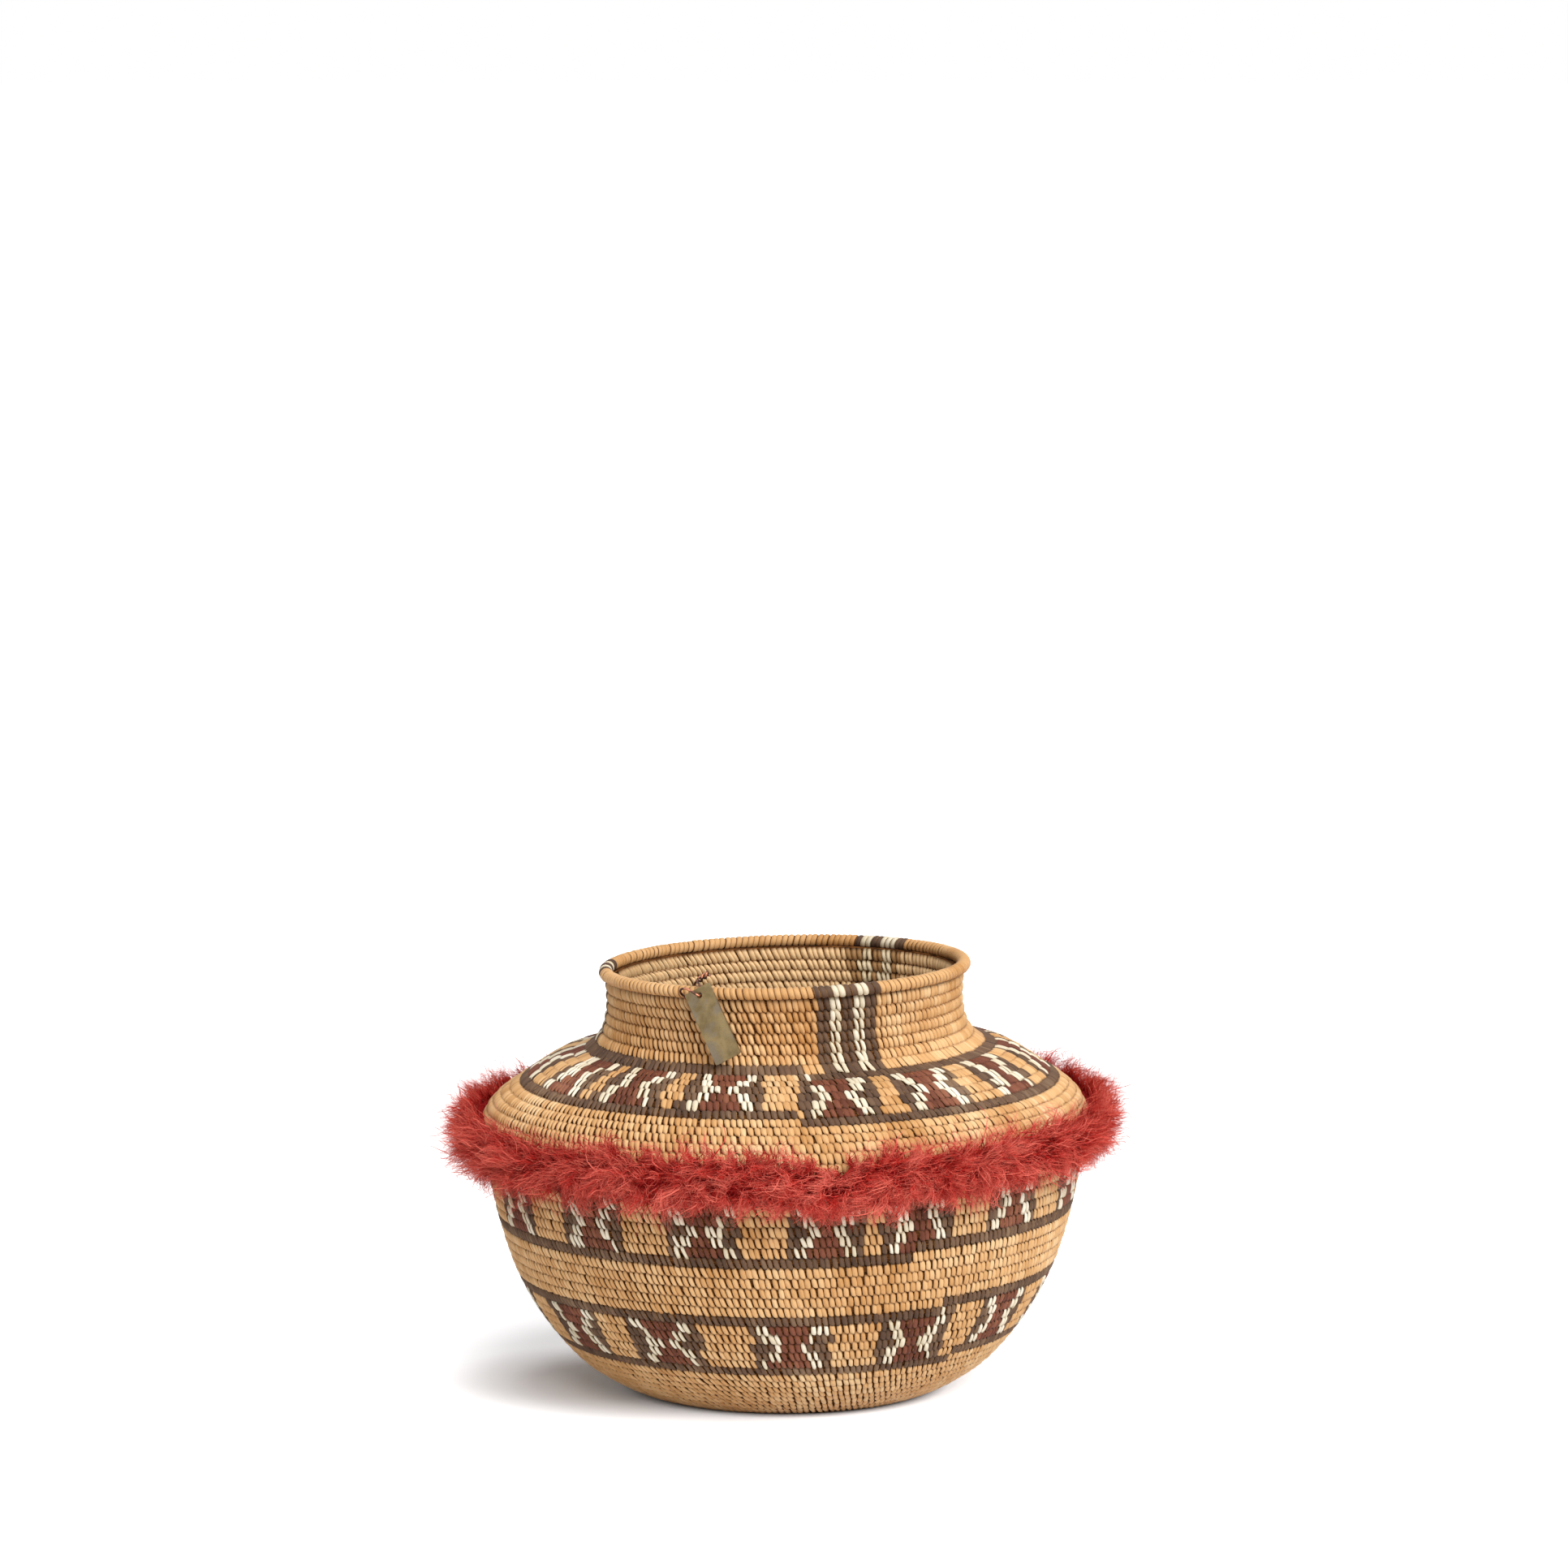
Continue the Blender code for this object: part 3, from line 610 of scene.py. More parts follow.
@dataclass(frozen=True)
class SplintFinish:
    """Split plant stem, sewn wet and dried hard: finely lined along each stitch, with a dull gloss.

    Attributes:
        ends: Tone of its sunk ends and creases: painted shade where they lie in shadow, with some dust and
            old varnish.
        sliver: Tone of the inner wood that its split edges bare.
        sliver_start: How near to its edge the inner wood starts, from 0 to 1.
        line_width: Width of its fine lines, drawn coarser than the plant's fibres so that they show.
        line_rate: How often those lines change along the stitch, for each millimetre.
        stretch: Length over which its tone wanders, from plant to plant.
        far_apart: How many millimetres of noise the stitches' own places are spread over.
    """

    name: str
    dark: str
    middle: str
    light: str
    ends: str
    sliver: str
    sliver_share: float
    roughness: float
    sliver_start: float = 0.50
    crease_dust_and_shade: float = 0.9
    inner_fade: float = 0.65
    line_width: float = 0.16 * MM
    line_rate: float = 0.35
    patch_rate: float = 0.9
    stretch: float = 26.31579 * MM
    stitch_width: float = 2.2 * MM
    stitch_length: float = 4.6 * MM
    far_apart: float = 900.0

    def material(self) -> Material:
        """Make the material, from the marks that every stitch carries.

        Returns:
            The material.
        """
        material, tree, shader = new_material(self.name)
        mark = add_node(tree, "Attribute", attribute_name=MARK)
        own, along, across = add_node(tree, "SeparateColor", [mark]).outputs[:3]
        # A place on the stitch in millimetres, far from every other stitch's
        reaches = (across, self.stitch_width / MM), (along, self.stitch_length / MM), (own, self.far_apart)
        parts = [add_node(tree, "MapRange", [part, 0.0, 1.0, 0.0, most]) for part, most in reaches]
        spot = add_node(tree, "CombineXYZ", parts)
        # Fibres of the splint show as fine lines along the stitch
        squeeze = (MM / self.line_width, self.line_rate, 1.0)
        flat = add_node(tree, "Mapping", {"Vector": spot, "Scale": squeeze})
        lines = add_node(tree, "TexNoise", {"Vector": flat, "Scale": 1.0, "Detail": 3.0})
        # Plants and ageing differ over stretches of a few centimetres
        place = add_node(tree, "TexCoord").outputs["Object"]
        wander = {"Vector": place, "Scale": 1.0 / self.stretch, "Detail": 2.0}
        stretch = add_node(tree, "TexNoise", wander)
        stretch = add_node(tree, "MapRange", [stretch, 0.3, 0.7, -0.05, 0.37])
        tone = add_node(tree, "Math", [own, 0.36, stretch], operation="MULTIPLY_ADD")
        tone = add_node(tree, "Math", [lines, 0.55, tone], operation="MULTIPLY_ADD")
        tone = add_node(tree, "Math", [tone, 0.22], operation="SUBTRACT")
        stops = ((0.0, self.dark), (0.45, self.middle), (0.95, self.light))
        colour = add_node(tree, "ValToRGB", [tone], stops)
        # Inside, hands and dust have darkened the splints less
        inner = add_node(tree, "MapRange", [mark.outputs["Alpha"], 0.0, 1.0, self.inner_fade, 0.0])
        # Split edges bare a strip of the paler inner wood, here and there
        edge = add_node(tree, "MapRange", [across, 0.0, 1.0, -1.0, 1.0])
        edge = add_node(tree, "Math", [edge], operation="ABSOLUTE")
        patches = {"Vector": spot, "Scale": self.patch_rate, "Detail": 2.0}
        bare = [edge, add_node(tree, "TexNoise", patches)]
        bare = add_node(tree, "Math", bare, operation="MULTIPLY")
        width = (self.sliver_start, self.sliver_start + 0.06)
        bare = add_node(tree, "MapRange", [bare, *width, 0.0, self.sliver_share])
        # Painted shade, with some dust and old varnish, darkens the creases and the sunk ends of each stitch
        crease_dust_and_shade = add_node(tree, "MapRange", [edge, 0.70, 1.0, 0.0, self.crease_dust_and_shade])
        low = add_node(tree, "MapRange", [along, 0.0, 0.24, 0.85, 0.0])
        high = add_node(tree, "MapRange", [along, 0.74, 1.0, 0.0, 0.9])
        sunk = add_node(tree, "Math", [low, high], operation="ADD", use_clamp=True)
        layers = (inner, self.sliver), (bare, self.sliver), (crease_dust_and_shade, self.ends), (sunk, self.ends)
        for share, over in layers:
            colour = add_node(tree, "Mix", {0: share, 6: colour, 7: over}, data_type="RGBA").outputs[2]
        rough = [lines, 0.3, 0.7, self.roughness - 0.08, self.roughness + 0.14]
        rough = add_node(tree, "MapRange", rough)
        relief = {"Height": lines, "Strength": 0.55, "Distance": 0.12 * MM}
        bump = add_node(tree, "Bump", relief)
        set_inputs(
            shader, {"Base Color": colour, "Roughness": rough, "Specular IOR Level": 0.16, "Normal": bump}
        )
        return material


# Peeled willow: warm tan, unevenly aged, with pale split edges
WILLOW = SplintFinish(
    name="willow_splint_peeled",
    dark="BC884F",
    middle="DBAF7B",
    light="F1D7AB",
    ends="6C3E1C",
    sliver="EBCB9C",
    sliver_share=0.25,
    roughness=0.42,
)
# Root dyed in mud: brown-black and matt, worn to tan at its edges
BULRUSH = SplintFinish(
    name="bulrush_root_dyed_dark",
    dark="47342A",
    middle="6F5643",
    light="9A8168",
    ends="31231A",
    sliver="B98C58",
    sliver_share=0.50,
    roughness=0.58,
    sliver_start=0.45,
    crease_dust_and_shade=0.35,
)
# Bark side of redbud: dark red-brown, worn to tan at its edges
REDBUD = SplintFinish(
    name="redbud_bark_splint",
    dark="4E271A",
    middle="794735",
    light="A06A50",
    ends="3A1D13",
    sliver="C08A5A",
    sliver_share=0.60,
    roughness=0.52,
    sliver_start=0.45,
    crease_dust_and_shade=0.45,
)
# Bleached yucca leaf: creamy white and narrow, so that each stitch stands alone
YUCCA = SplintFinish(
    name="yucca_leaf_splint_bleached",
    dark="D2C4A6",
    middle="ECE3CF",
    light="FAF4E6",
    ends="A08A68",
    sliver="D2BA8E",
    sliver_share=0.26,
    roughness=0.60,
)


@dataclass(frozen=True)
class FoundationFinish:
    """Bundle of split grass stems, seen only between the stitches: golden grass, drawn in dark browns as
    painted shade for the gaps between the stitches.
    """

    dark: str = "30190A"
    middle: str = "523015"
    light: str = "80532A"
    stem: float = 0.28 * MM
    stem_length: float = 5.0 * MM

    def material(self) -> Material:
        """Make the material, streaked along the coil.

        Returns:
            The material.
        """
        material, tree, shader = new_material("grass_bundle_dried")
        place = add_node(tree, "TexCoord").outputs["Object"]
        squeeze = (1.0 / self.stem_length, 1.0 / self.stem_length, 1.0 / self.stem)
        flat = add_node(tree, "Mapping", {"Vector": place, "Scale": squeeze})
        streaks = add_node(tree, "TexNoise", {"Vector": flat, "Scale": 1.0, "Detail": 3.0})
        # Painted shade: the stems take dark browns for the shade in the gaps between the stitches
        stops = ((0.34, self.dark), (0.5, self.middle), (0.70, self.light))
        colour = add_node(tree, "ValToRGB", [streaks], stops)
        set_inputs(shader, {"Base Color": colour, "Roughness": 0.85, "Specular IOR Level": 0.05})
        return material


@dataclass(frozen=True)
class WoolFinish:
    """Dyed sheep's wool, combed out: matt red, with painted shade that deepens it towards the roots where
    fibres crowd together, and pinker at their tips.
    """

    root: str = "66080C"
    middle: str = "BE2B26"
    tip: str = "E67465"
    strand: float = 0.9 * MM

    def material(self) -> Material:
        """Make the material, from each fibre's own number and the place along it.

        Returns:
            The material.
        """
        material, tree, shader = new_material("sheep_wool_dyed_red")
        mark = add_node(tree, "Attribute", attribute_name=MARK)
        own, along = add_node(tree, "SeparateColor", [mark]).outputs[:2]
        # Painted shade darkens each fibre towards its root, deep in the fringe, and lightens it towards its
        # tip
        painted_root_shade = add_node(tree, "MapRange", [along, 0.0, 1.0, -0.16, 0.62])
        tone = add_node(tree, "Math", [own, 0.60, painted_root_shade], operation="MULTIPLY_ADD")
        # The matted body shows strands too, drawn fine and dark
        place = add_node(tree, "TexCoord").outputs["Object"]
        tangle = {"Vector": place, "Scale": 1.0 / self.strand, "Detail": 3.0, "Distortion": 1.5}
        strands = add_node(tree, "TexNoise", tangle)
        strands = add_node(tree, "MapRange", [strands, 0.3, 0.7, -0.2, 0.14])
        tone = add_node(tree, "Math", [tone, strands], operation="ADD")
        stops = ((0.0, self.root), (0.42, self.middle), (0.95, self.tip))
        colour = add_node(tree, "ValToRGB", [tone], stops)
        set_inputs(shader, {"Base Color": colour, "Roughness": 0.9, "Specular IOR Level": 0.04})
        return material


@dataclass(frozen=True)
class BrassFinish:
    """Rolled sheet brass, cut by hand and gone dull: olive tarnish, greyer rubbed places, fine scratches."""

    tarnish: str = "71603F"
    bright: str = "93805A"
    grey: str = "7B7163"
    scratch: str = "4A4130"
    cloud_size: float = 4.5 * MM
    rub_size: float = 6.5 * MM
    # Drawn wider than real scratches, which are too fine to show
    scratch_size: float = 0.35 * MM

    def material(self) -> Material:
        """Make the material.

        Returns:
            The material.
        """
        material, tree, shader = new_material("sheet_brass_tarnished")
        place = add_node(tree, "TexCoord").outputs["Object"]
        clouds, rubbed, fine = (
            add_node(tree, "TexNoise", {"Vector": place, "Scale": 1.0 / size, "Detail": detail})
            for size, detail in ((self.cloud_size, 4.0), (self.rub_size, 3.0), (self.scratch_size, 2.0))
        )
        colour = add_node(tree, "ValToRGB", [clouds], ((0.30, self.tarnish), (0.62, self.bright)))
        layers = ([rubbed, 0.5, 0.62, 0.0, 0.75], self.grey), ([fine, 0.55, 0.75, 0.0, 0.35], self.scratch)
        for share, over in layers:
            share = add_node(tree, "MapRange", share)
            colour = add_node(tree, "Mix", {0: share, 6: colour, 7: over}, data_type="RGBA").outputs[2]
        rough = add_node(tree, "MapRange", [clouds, 0.3, 0.7, 0.58, 0.42])
        bump = add_node(tree, "Bump", {"Height": fine, "Strength": 0.25, "Distance": 0.05 * MM})
        set_inputs(shader, {"Base Color": colour, "Metallic": 0.75, "Roughness": rough, "Normal": bump})
        return material


@dataclass(frozen=True)
class WireFinish:
    """Drawn copper wire, tarnished brown, with bare copper where it has rubbed on the tag."""

    tarnish: str = "4A3029"
    copper: str = "B5765A"
    rub_size: float = 2.4 * MM

    def material(self) -> Material:
        """Make the material.

        Returns:
            The material.
        """
        material, tree, shader = new_material("drawn_copper_wire")
        place = add_node(tree, "TexCoord").outputs["Object"]
        spots = {"Vector": place, "Scale": 1.0 / self.rub_size, "Detail": 2.0}
        rubbed = add_node(tree, "TexNoise", spots)
        colour = add_node(tree, "ValToRGB", [rubbed], ((0.46, self.tarnish), (0.60, self.copper)))
        set_inputs(shader, {"Base Color": colour, "Metallic": 0.85, "Roughness": 0.38})
        return material


class Finishes:
    """The wall's materials, made once: its splints' in the order of their slots, and its foundation's."""

    def __init__(self) -> None:
        """Make the materials."""
        self.splints: list[Material] = [finish.material() for finish in (WILLOW, BULRUSH, REDBUD, YUCCA)]
        self.foundation: Material = FoundationFinish().material()


# Sub-assemblies


@dataclass(frozen=True)
class StitchForm:
    """Form of one stitch, from its lower end between two below to its upper end under the next round.

    Attributes:
        along: Places along it, as shares of a round's height.
        depth: How deep its ridge lies below the wall's outer line at each of them, in mm.
        width: How much of its full width it has at each.
        across: Places across it, from edge to edge.
        dome: How far its edges lie below its ridge.
        power: How flat its middle is: 2 is evenly round.
        cut: How much lower its lower end reaches on the right than in the middle, as a share of a round.
    """

    along: Shares
    depth: Shares
    width: Shares
    across: Shares
    dome: float
    power: float
    cut: float


WALL_STITCH = StitchForm(
    along=(-0.07, 0.03, 0.22, 0.48, 0.74, 0.91, 1.03),
    depth=(0.34, 0.14, 0.04, 0.00, 0.12, 0.50, 1.00),
    width=(0.80, 0.91, 0.94, 0.92, 0.84, 0.62, 0.30),
    across=(-1.0, -0.66, 0.0, 0.66, 1.0),
    dome=0.62 * MM,
    power=2.7,
    cut=0.05,
)
SHOULDER_STITCH = StitchForm(
    along=(-0.16, -0.04, 0.16, 0.42, 0.68, 0.90, 1.05),
    depth=(0.52, 0.34, 0.12, 0.00, 0.05, 0.42, 0.95),
    width=(0.46, 0.72, 0.88, 0.96, 0.98, 0.90, 0.66),
    across=(-1.0, -0.68, 0.0, 0.68, 1.0),
    dome=0.55 * MM,
    power=2.6,
    cut=0.07,
)
BAND_STITCH = StitchForm(
    along=(-0.20, -0.08, 0.12, 0.42, 0.72, 0.94, 1.10),
    depth=(0.36, 0.20, 0.06, 0.00, 0.05, 0.34, 0.80),
    width=(0.62, 0.84, 0.95, 1.00, 1.00, 0.94, 0.76),
    across=(-1.0, -0.68, 0.0, 0.68, 1.0),
    dome=0.50 * MM,
    power=2.8,
    cut=0.06,
)
NECK_STITCH = StitchForm(
    along=(-0.14, 0.0, 0.18, 0.42, 0.68, 0.88, 1.04),
    depth=(0.84, 0.50, 0.15, 0.00, 0.08, 0.56, 1.20),
    width=(0.60, 0.86, 0.97, 1.00, 0.94, 0.76, 0.46),
    across=(-1.0, -0.60, 0.0, 0.60, 1.0),
    dome=0.88 * MM,
    power=2.2,
    cut=0.04,
)
PLAIN_STITCH = StitchForm(
    along=(-0.18, 0.12, 0.50, 0.85, 1.06),
    depth=(0.46, 0.16, 0.00, 0.36, 0.90),
    width=(0.40, 0.92, 1.0, 0.92, 0.70),
    across=(-1.0, 0.0, 1.0),
    dome=0.60 * MM,
    power=2.0,
    cut=0.0,
)


@dataclass(frozen=True)
class RoundSide:
    """One side of one round."""

    row: int
    radius: float
    count: int
    inside: bool

    @property
    def room(self) -> float:
        """Room that each stitch has along the round."""
        return math.tau * self.radius / self.count


@dataclass
class Stitches:
    """The stitches of one side of a round.

    Attributes:
        splints: Splint number of each.
        own: Its own number for the materials, from 0 to 1.
        measures: Rows for its angle, how far it lies out of its place, its width as a share of its room, how
            far it slants, how much deeper it lies than its form says, and how much further up it starts.
    """

    splints: Array
    own: Array
    measures: Array

    def kept(self, keep: Array) -> "Stitches":
        """The stitches for which keep is true."""
        return Stitches(self.splints[keep], self.own[keep], self.measures[:, keep])


@dataclass(frozen=True)
class Hand:
    """How uneven the hand sewing is, from one stitch to the next.

    Attributes:
        full_width: Usual width, as a share of a stitch's room.
        reach: Usual difference in how far down a stitch starts, as a share of a round.
        loose: How much narrower the stitches are at the far left, which was sewn looser.
        sway: How much more the stitches slant at the far left, and less at the far right.
        white_proud: How far a white stitch stands proud.
    """

    shift: float = 0.07
    full_width: float = 0.96
    width: float = 0.06
    slant: float = 0.12
    sink: float = 0.05 * MM
    reach: float = 0.05
    loose: float = 0.13
    sway: float = 0.75
    white_width: float = 2.2
    white_slant: float = 0.30 * MM
    white_proud: float = 0.12 * MM
    white_reach: float = 2.0


@dataclass
class SewnCourse:
    """A course of rounds between two changes of the sewing: its foundation and every stitch, inside and out.

    Attributes:
        lean: How far a stitch runs along the round while it climbs it, towards the left.
        fill: How much of its usual width each stitch has.
        inner_fill: How much wider the inner stitches are than the outer ones.
        inner_lean: How much more the inner stitches lean than the outer ones.
        even: Whether all its rounds have the same number of stitches.
        groove: How much deeper the grooves between them are.
        top_gap: How far it stops below the next piece, or reaches into it if less than nothing.
        run_on: How much further the last stitches then run into the rim, as a share of what their form says.
        run_on_width: How wide they at least stay there.
        run_on_depth: How deep they at most lie there.
    """

    node: str
    first: int
    count: int
    lean: float = 0.9 * MM
    form: StitchForm = WALL_STITCH
    inner_form: StitchForm = PLAIN_STITCH
    stitch_width: float = 2.15 * MM
    fill: float = 1.0
    inner_fill: float = 1.10
    inner_lean: float = 1.0
    even: bool = True
    fewest: int = 9
    foundation_depth: float = 0.88 * MM
    groove: float = 0.85 * MM
    foot_gap: float = 0.15 * MM
    top_gap: float = 0.15 * MM
    run_on: float = 0.32
    run_on_width: float = 0.96
    run_on_depth: float = 0.45 * MM
    foundation_steps: int = 128
    hand: Hand = Hand()

    def build(
        self,
        shape: Shape,
        pattern: Pattern,
        finishes: Finishes,
        rng: Random,
        gap: "WireGap | None" = None,
    ) -> list[Object]:
        """Make the course's foundation and its sewing.

        Args:
            shape: The wall's shape.
            pattern: The sewn pattern.
            finishes: The materials.
            rng: Source of the small differences between stitches.
            gap: Where the tag's wire passes through the wall, if it does here.

        Returns:
            The two objects, the sewing first.
        """
        sewing = []
        for row in range(self.first, self.first + self.count):
            line, _ = shape.line(np.array([row + 0.5, self.first + 0.5 * self.count]))
            # The second place is the course's middle, which gives all its rounds their number of stitches
            around = math.tau * float(line[int(self.even), 0])
            count = max(self.fewest, round(around / self.stitch_width))
            for inside in (False, True):
                side = RoundSide(row, float(line[0, 0]), count, inside)
                stitches = self._stitches(side, pattern, rng)
                if gap is not None and self._is_last(row):
                    stitches = stitches.kept(gap.clears(stitches.measures[0], side.radius))
                sewing.append(self._sew(side, shape, stitches))
        sewn = link_parts(f"{self.node}_sewing", sewing, finishes.splints)
        foundation = self._foundation(shape, finishes)
        if gap is not None:
            gap.cut(foundation)
        return [sewn, foundation]

    def _is_last(self, row: int) -> bool:
        """Whether this is the course's highest round."""
        return row == self.first + self.count - 1

    def _stitches(self, side: RoundSide, pattern: Pattern, rng: Random) -> Stitches:
        """Lay out one side of one round.

        Args:
            side: Which round and side.
            pattern: The sewn pattern.
            rng: Source of the small differences.

        Returns:
            Its stitches.
        """
        hand, count = self.hand, side.count
        # Each stitch starts in the gap between two stitches of the round below
        number = np.arange(count) + (side.row * (0.5 - self.lean / self.stitch_width)) % 1.0
        angles = wrapped(number * math.tau / count)
        splints = pattern.splints(side.row, angles, side.radius / side.room, rng)
        own = rng.random(count)
        white = splints == Splint.WHITE.value
        shifts = rng.normal(0.0, hand.shift, count) * side.room
        loose = np.clip(-np.sin(angles), 0.0, 1.0)
        widths = self.fill * np.array([SPLINT_WIDTHS[kind] for kind in Splint])[splints]
        widths = widths * (hand.full_width - hand.loose * loose)
        widths = widths * (1.0 + rng.normal(0.0, hand.width, count) * np.where(white, hand.white_width, 1.0))
        slants = self.lean * (1.0 - hand.sway * np.sin(angles) + rng.normal(0.0, hand.slant, count))
        slants = slants + np.where(white, rng.normal(0.0, hand.white_slant, count), 0.0)
        sinks = rng.normal(0.0, hand.sink, count) - np.where(white, hand.white_proud, 0.0)
        reaches = rng.normal(0.0, hand.reach, count) * np.where(white, hand.white_reach, 1.0)
        return Stitches(splints, own, np.array([angles, shifts, widths, slants, sinks, reaches]))

    def _sew(self, side: RoundSide, shape: Shape, stitches: Stitches) -> tuple[Array, ...]:
        """Give the stitches of one side of a round their form.

        Args:
            side: Which round and side.
            shape: The wall's shape.
            stitches: The stitches.

        Returns:
            Their points, faces, slots and marks.
        """
        form = self.inner_form if side.inside else self.form
        angles, shifts, widths, slants, sinks, reaches = stitches.measures[..., None, None]
        along, share, sunk = (
            np.array(values)[None, :, None] for values in (form.along, form.width, form.depth)
        )
        sunk = sunk * MM
        across = np.array(form.across)[None, None, :]
        up = along + np.where(along < 0, reaches, 0.0) - form.cut * across * np.clip(1.0 - along, 0.0, 1.0)
        if self.top_gap < 0 and self._is_last(side.row):
            # The last round's stitches run on into the rim, wide and near the surface
            up = up + self.run_on * np.clip(along - 0.4, 0.0, None)
            upper = along > 0.5
            sunk = np.where(upper, np.minimum(sunk, self.run_on_depth), sunk)
            share = np.where(upper, np.maximum(share, self.run_on_width), share)
        half = side.room / 2 * share * widths
        depth = sunk + form.dome * np.abs(across) ** form.power + sinks
        run = -slants
        if side.inside:
            half = half * self.inner_fill
            depth = shape.thickness - depth
            run = self.inner_lean * slants
        spread = (shifts + run * (along - 0.5) + half * across) / side.radius
        # No stitch reaches into the start knot or over the rim
        lowest = 0.02 if side.row == 0 else -1.0
        highest = shape.wall_rounds + 0.35
        rounds = np.clip(side.row + up, lowest, highest)
        points = shape.place(rounds, depth, angles + spread)
        # The base rests on the floor and no stitch passes through it
        points[..., 2] = np.maximum(points[..., 2], 0.0)
        rows, columns = len(form.along), len(form.across)
        quads = grid_quads(len(points), rows, columns)
        marks = stitch_marks(stitches.own, rows, columns)
        if side.inside:
            quads = quads[:, ::-1]
            marks[:, 3] = 0.0
        return points, quads, np.repeat(stitches.splints, (rows - 1) * (columns - 1)), marks

    def _foundation(self, shape: Shape, finishes: Finishes) -> Object:
        """Make the coils' foundation, a ribbed ring that closes on itself.

        Args:
            shape: The wall's shape.
            finishes: The materials.

        Returns:
            The foundation.
        """
        places_per_round = 4
        share = np.linspace(0.0, self.count, self.count * places_per_round + 1)
        ribs = self.groove * np.abs(2 * (share % 1.0) - 1.0) ** 2.2 + self.foundation_depth
        line, _ = shape.line(np.array([self.first, self.first + 1.0]))
        pitch = float(np.linalg.norm(line[1] - line[0]))
        top = self.count - self.top_gap / pitch
        place = np.clip(share, self.foot_gap / pitch, top) + self.first
        place[-1] = self.first + top
        if self.top_gap < 0:
            ribs[-1] = self.foundation_depth
        rounds = np.concatenate([place[::-1], place])
        depth = np.concatenate([ribs[::-1], shape.thickness - ribs])
        turns = turns_of(self.foundation_steps)[:, None]
        points = shape.place(rounds[None, :], depth[None, :], turns)
        quads = grid_quads(1, self.foundation_steps, len(rounds), wrap=True, closed=True)
        return link_mesh(f"{self.node}_foundation", points, quads, [finishes.foundation])


@dataclass
class WireGap:
    """Place where the tag's wire passes through the wall, close under the rim.

    Attributes:
        side: How far left of the tag the wire passes.
        clear: How far from the wire the stitches keep.
    """

    shape: Shape
    tag_angle: float = math.radians(-25.4)
    side: float = 5.8 * MM
    reach: float = 4.0 * MM
    width: float = 1.7 * MM
    clear: float = 1.45 * MM

    def clears(self, angles: Array, radius: float) -> Array:
        """Which stitches of a round keep clear of the wire."""
        wire_angle = self.tag_angle - self.side / self.shape.rim_radius
        return np.abs(angles - wire_angle) * radius > self.clear

    def cut(self, wall: Object) -> None:
        """Cut the gap in the wall's foundation.

        Args:
            wall: The foundation.
        """
        frame = self.shape.angle_frame(self.tag_angle, self.shape.rim_radius, self.shape.rim_height)
        shape = bmesh.new()
        bmesh.ops.create_cone(
            shape, cap_ends=True, segments=32, radius1=self.reach, radius2=self.reach, depth=self.width
        )
        cutter = link_shape("wire_gap", shape)
        quarter = Matrix.Rotation(math.pi / 2, 4, "Y")
        cutter.matrix_world = frame @ Matrix.Translation((-self.side, 0, 0)) @ quarter
        modifier = wall.modifiers.new("gap", "BOOLEAN")
        modifier.operation = "DIFFERENCE"
        modifier.solver = "EXACT"
        modifier.object = cutter
        bpy.context.view_layer.update()
        cut = bpy.data.meshes.new_from_object(wall.evaluated_get(bpy.context.evaluated_depsgraph_get()))
        wall.modifiers.clear()
        wall.data = cut
        bpy.data.objects.remove(cutter)


@dataclass
class StartKnot:
    """Start of the coil: a small knot of splint, wrapped round its middle.

    Attributes:
        rise: How far its ends lie below its middle.
        twist: How far round it runs on its way out, in radians.
        overlap: How much of its room each wrap takes.
    """

    node: str = "start_knot"
    wraps: int = 12
    rows: int = 6
    columns: int = 5
    inner_radius: float = 0.9 * MM
    dome: float = 0.9 * MM
    rise: float = 0.35 * MM
    twist: float = 0.45
    overlap: float = 1.02
    core_inset: float = 0.25 * MM

    def build(self, shape: Shape, finishes: Finishes, rng: Random) -> Object:
        """Make the knot's wraps, under the base and inside it, and the core that they cover.

        Args:
            shape: The wall's shape.
            finishes: The materials.
            rng: Source of the small differences.

        Returns:
            The knot.
        """
        parts = []
        share = np.linspace(0, 1, self.rows)[None, :, None]
        across = np.linspace(-1, 1, self.columns)[None, None, :]
        turns = turns_of(self.wraps)[:, None, None]
        radius = self.inner_radius + (shape.knot_radius - self.inner_radius) * share
        angle = turns + math.pi / self.wraps * self.overlap * across + self.twist * share
        depth = self.dome * across**2 * share + self.rise * np.abs(2 * share - 1) ** 2.5 + 0.02 * MM
        quads = grid_quads(self.wraps, self.rows, self.columns)
        slots = np.zeros(len(quads))
        for height, faces in ((depth, quads), (shape.thickness - depth, quads[:, ::-1])):
            marks = stitch_marks(rng.random(self.wraps), self.rows, self.columns)
            parts.append((shape.leaned(radius, angle, height), faces, slots, marks))
        core_rows, core_columns = 12, 24
        swing = np.linspace(0, math.pi, core_rows)[:, None]
        turn = turns_of(core_columns)[None, :]
        radius = (shape.knot_radius - self.core_inset) * np.sin(swing) ** 0.5
        core = shape.leaned(radius, turn, shape.thickness * (0.5 + 0.42 * np.cos(swing)))
        quads = grid_quads(1, core_rows, core_columns, wrap=True)[:, ::-1]
        # With its marks at a stitch's lower edge, the core takes the dark tone of the creases and sunk ends:
        # painted shade, with some dust
        marks = np.tile([0.4, 0.0, 0.0, 1.0], (core_rows * core_columns, 1))
        parts.append((core, quads, np.zeros(len(quads)), marks))
        return link_parts(f"{self.node}_wraps", parts, finishes.splints)


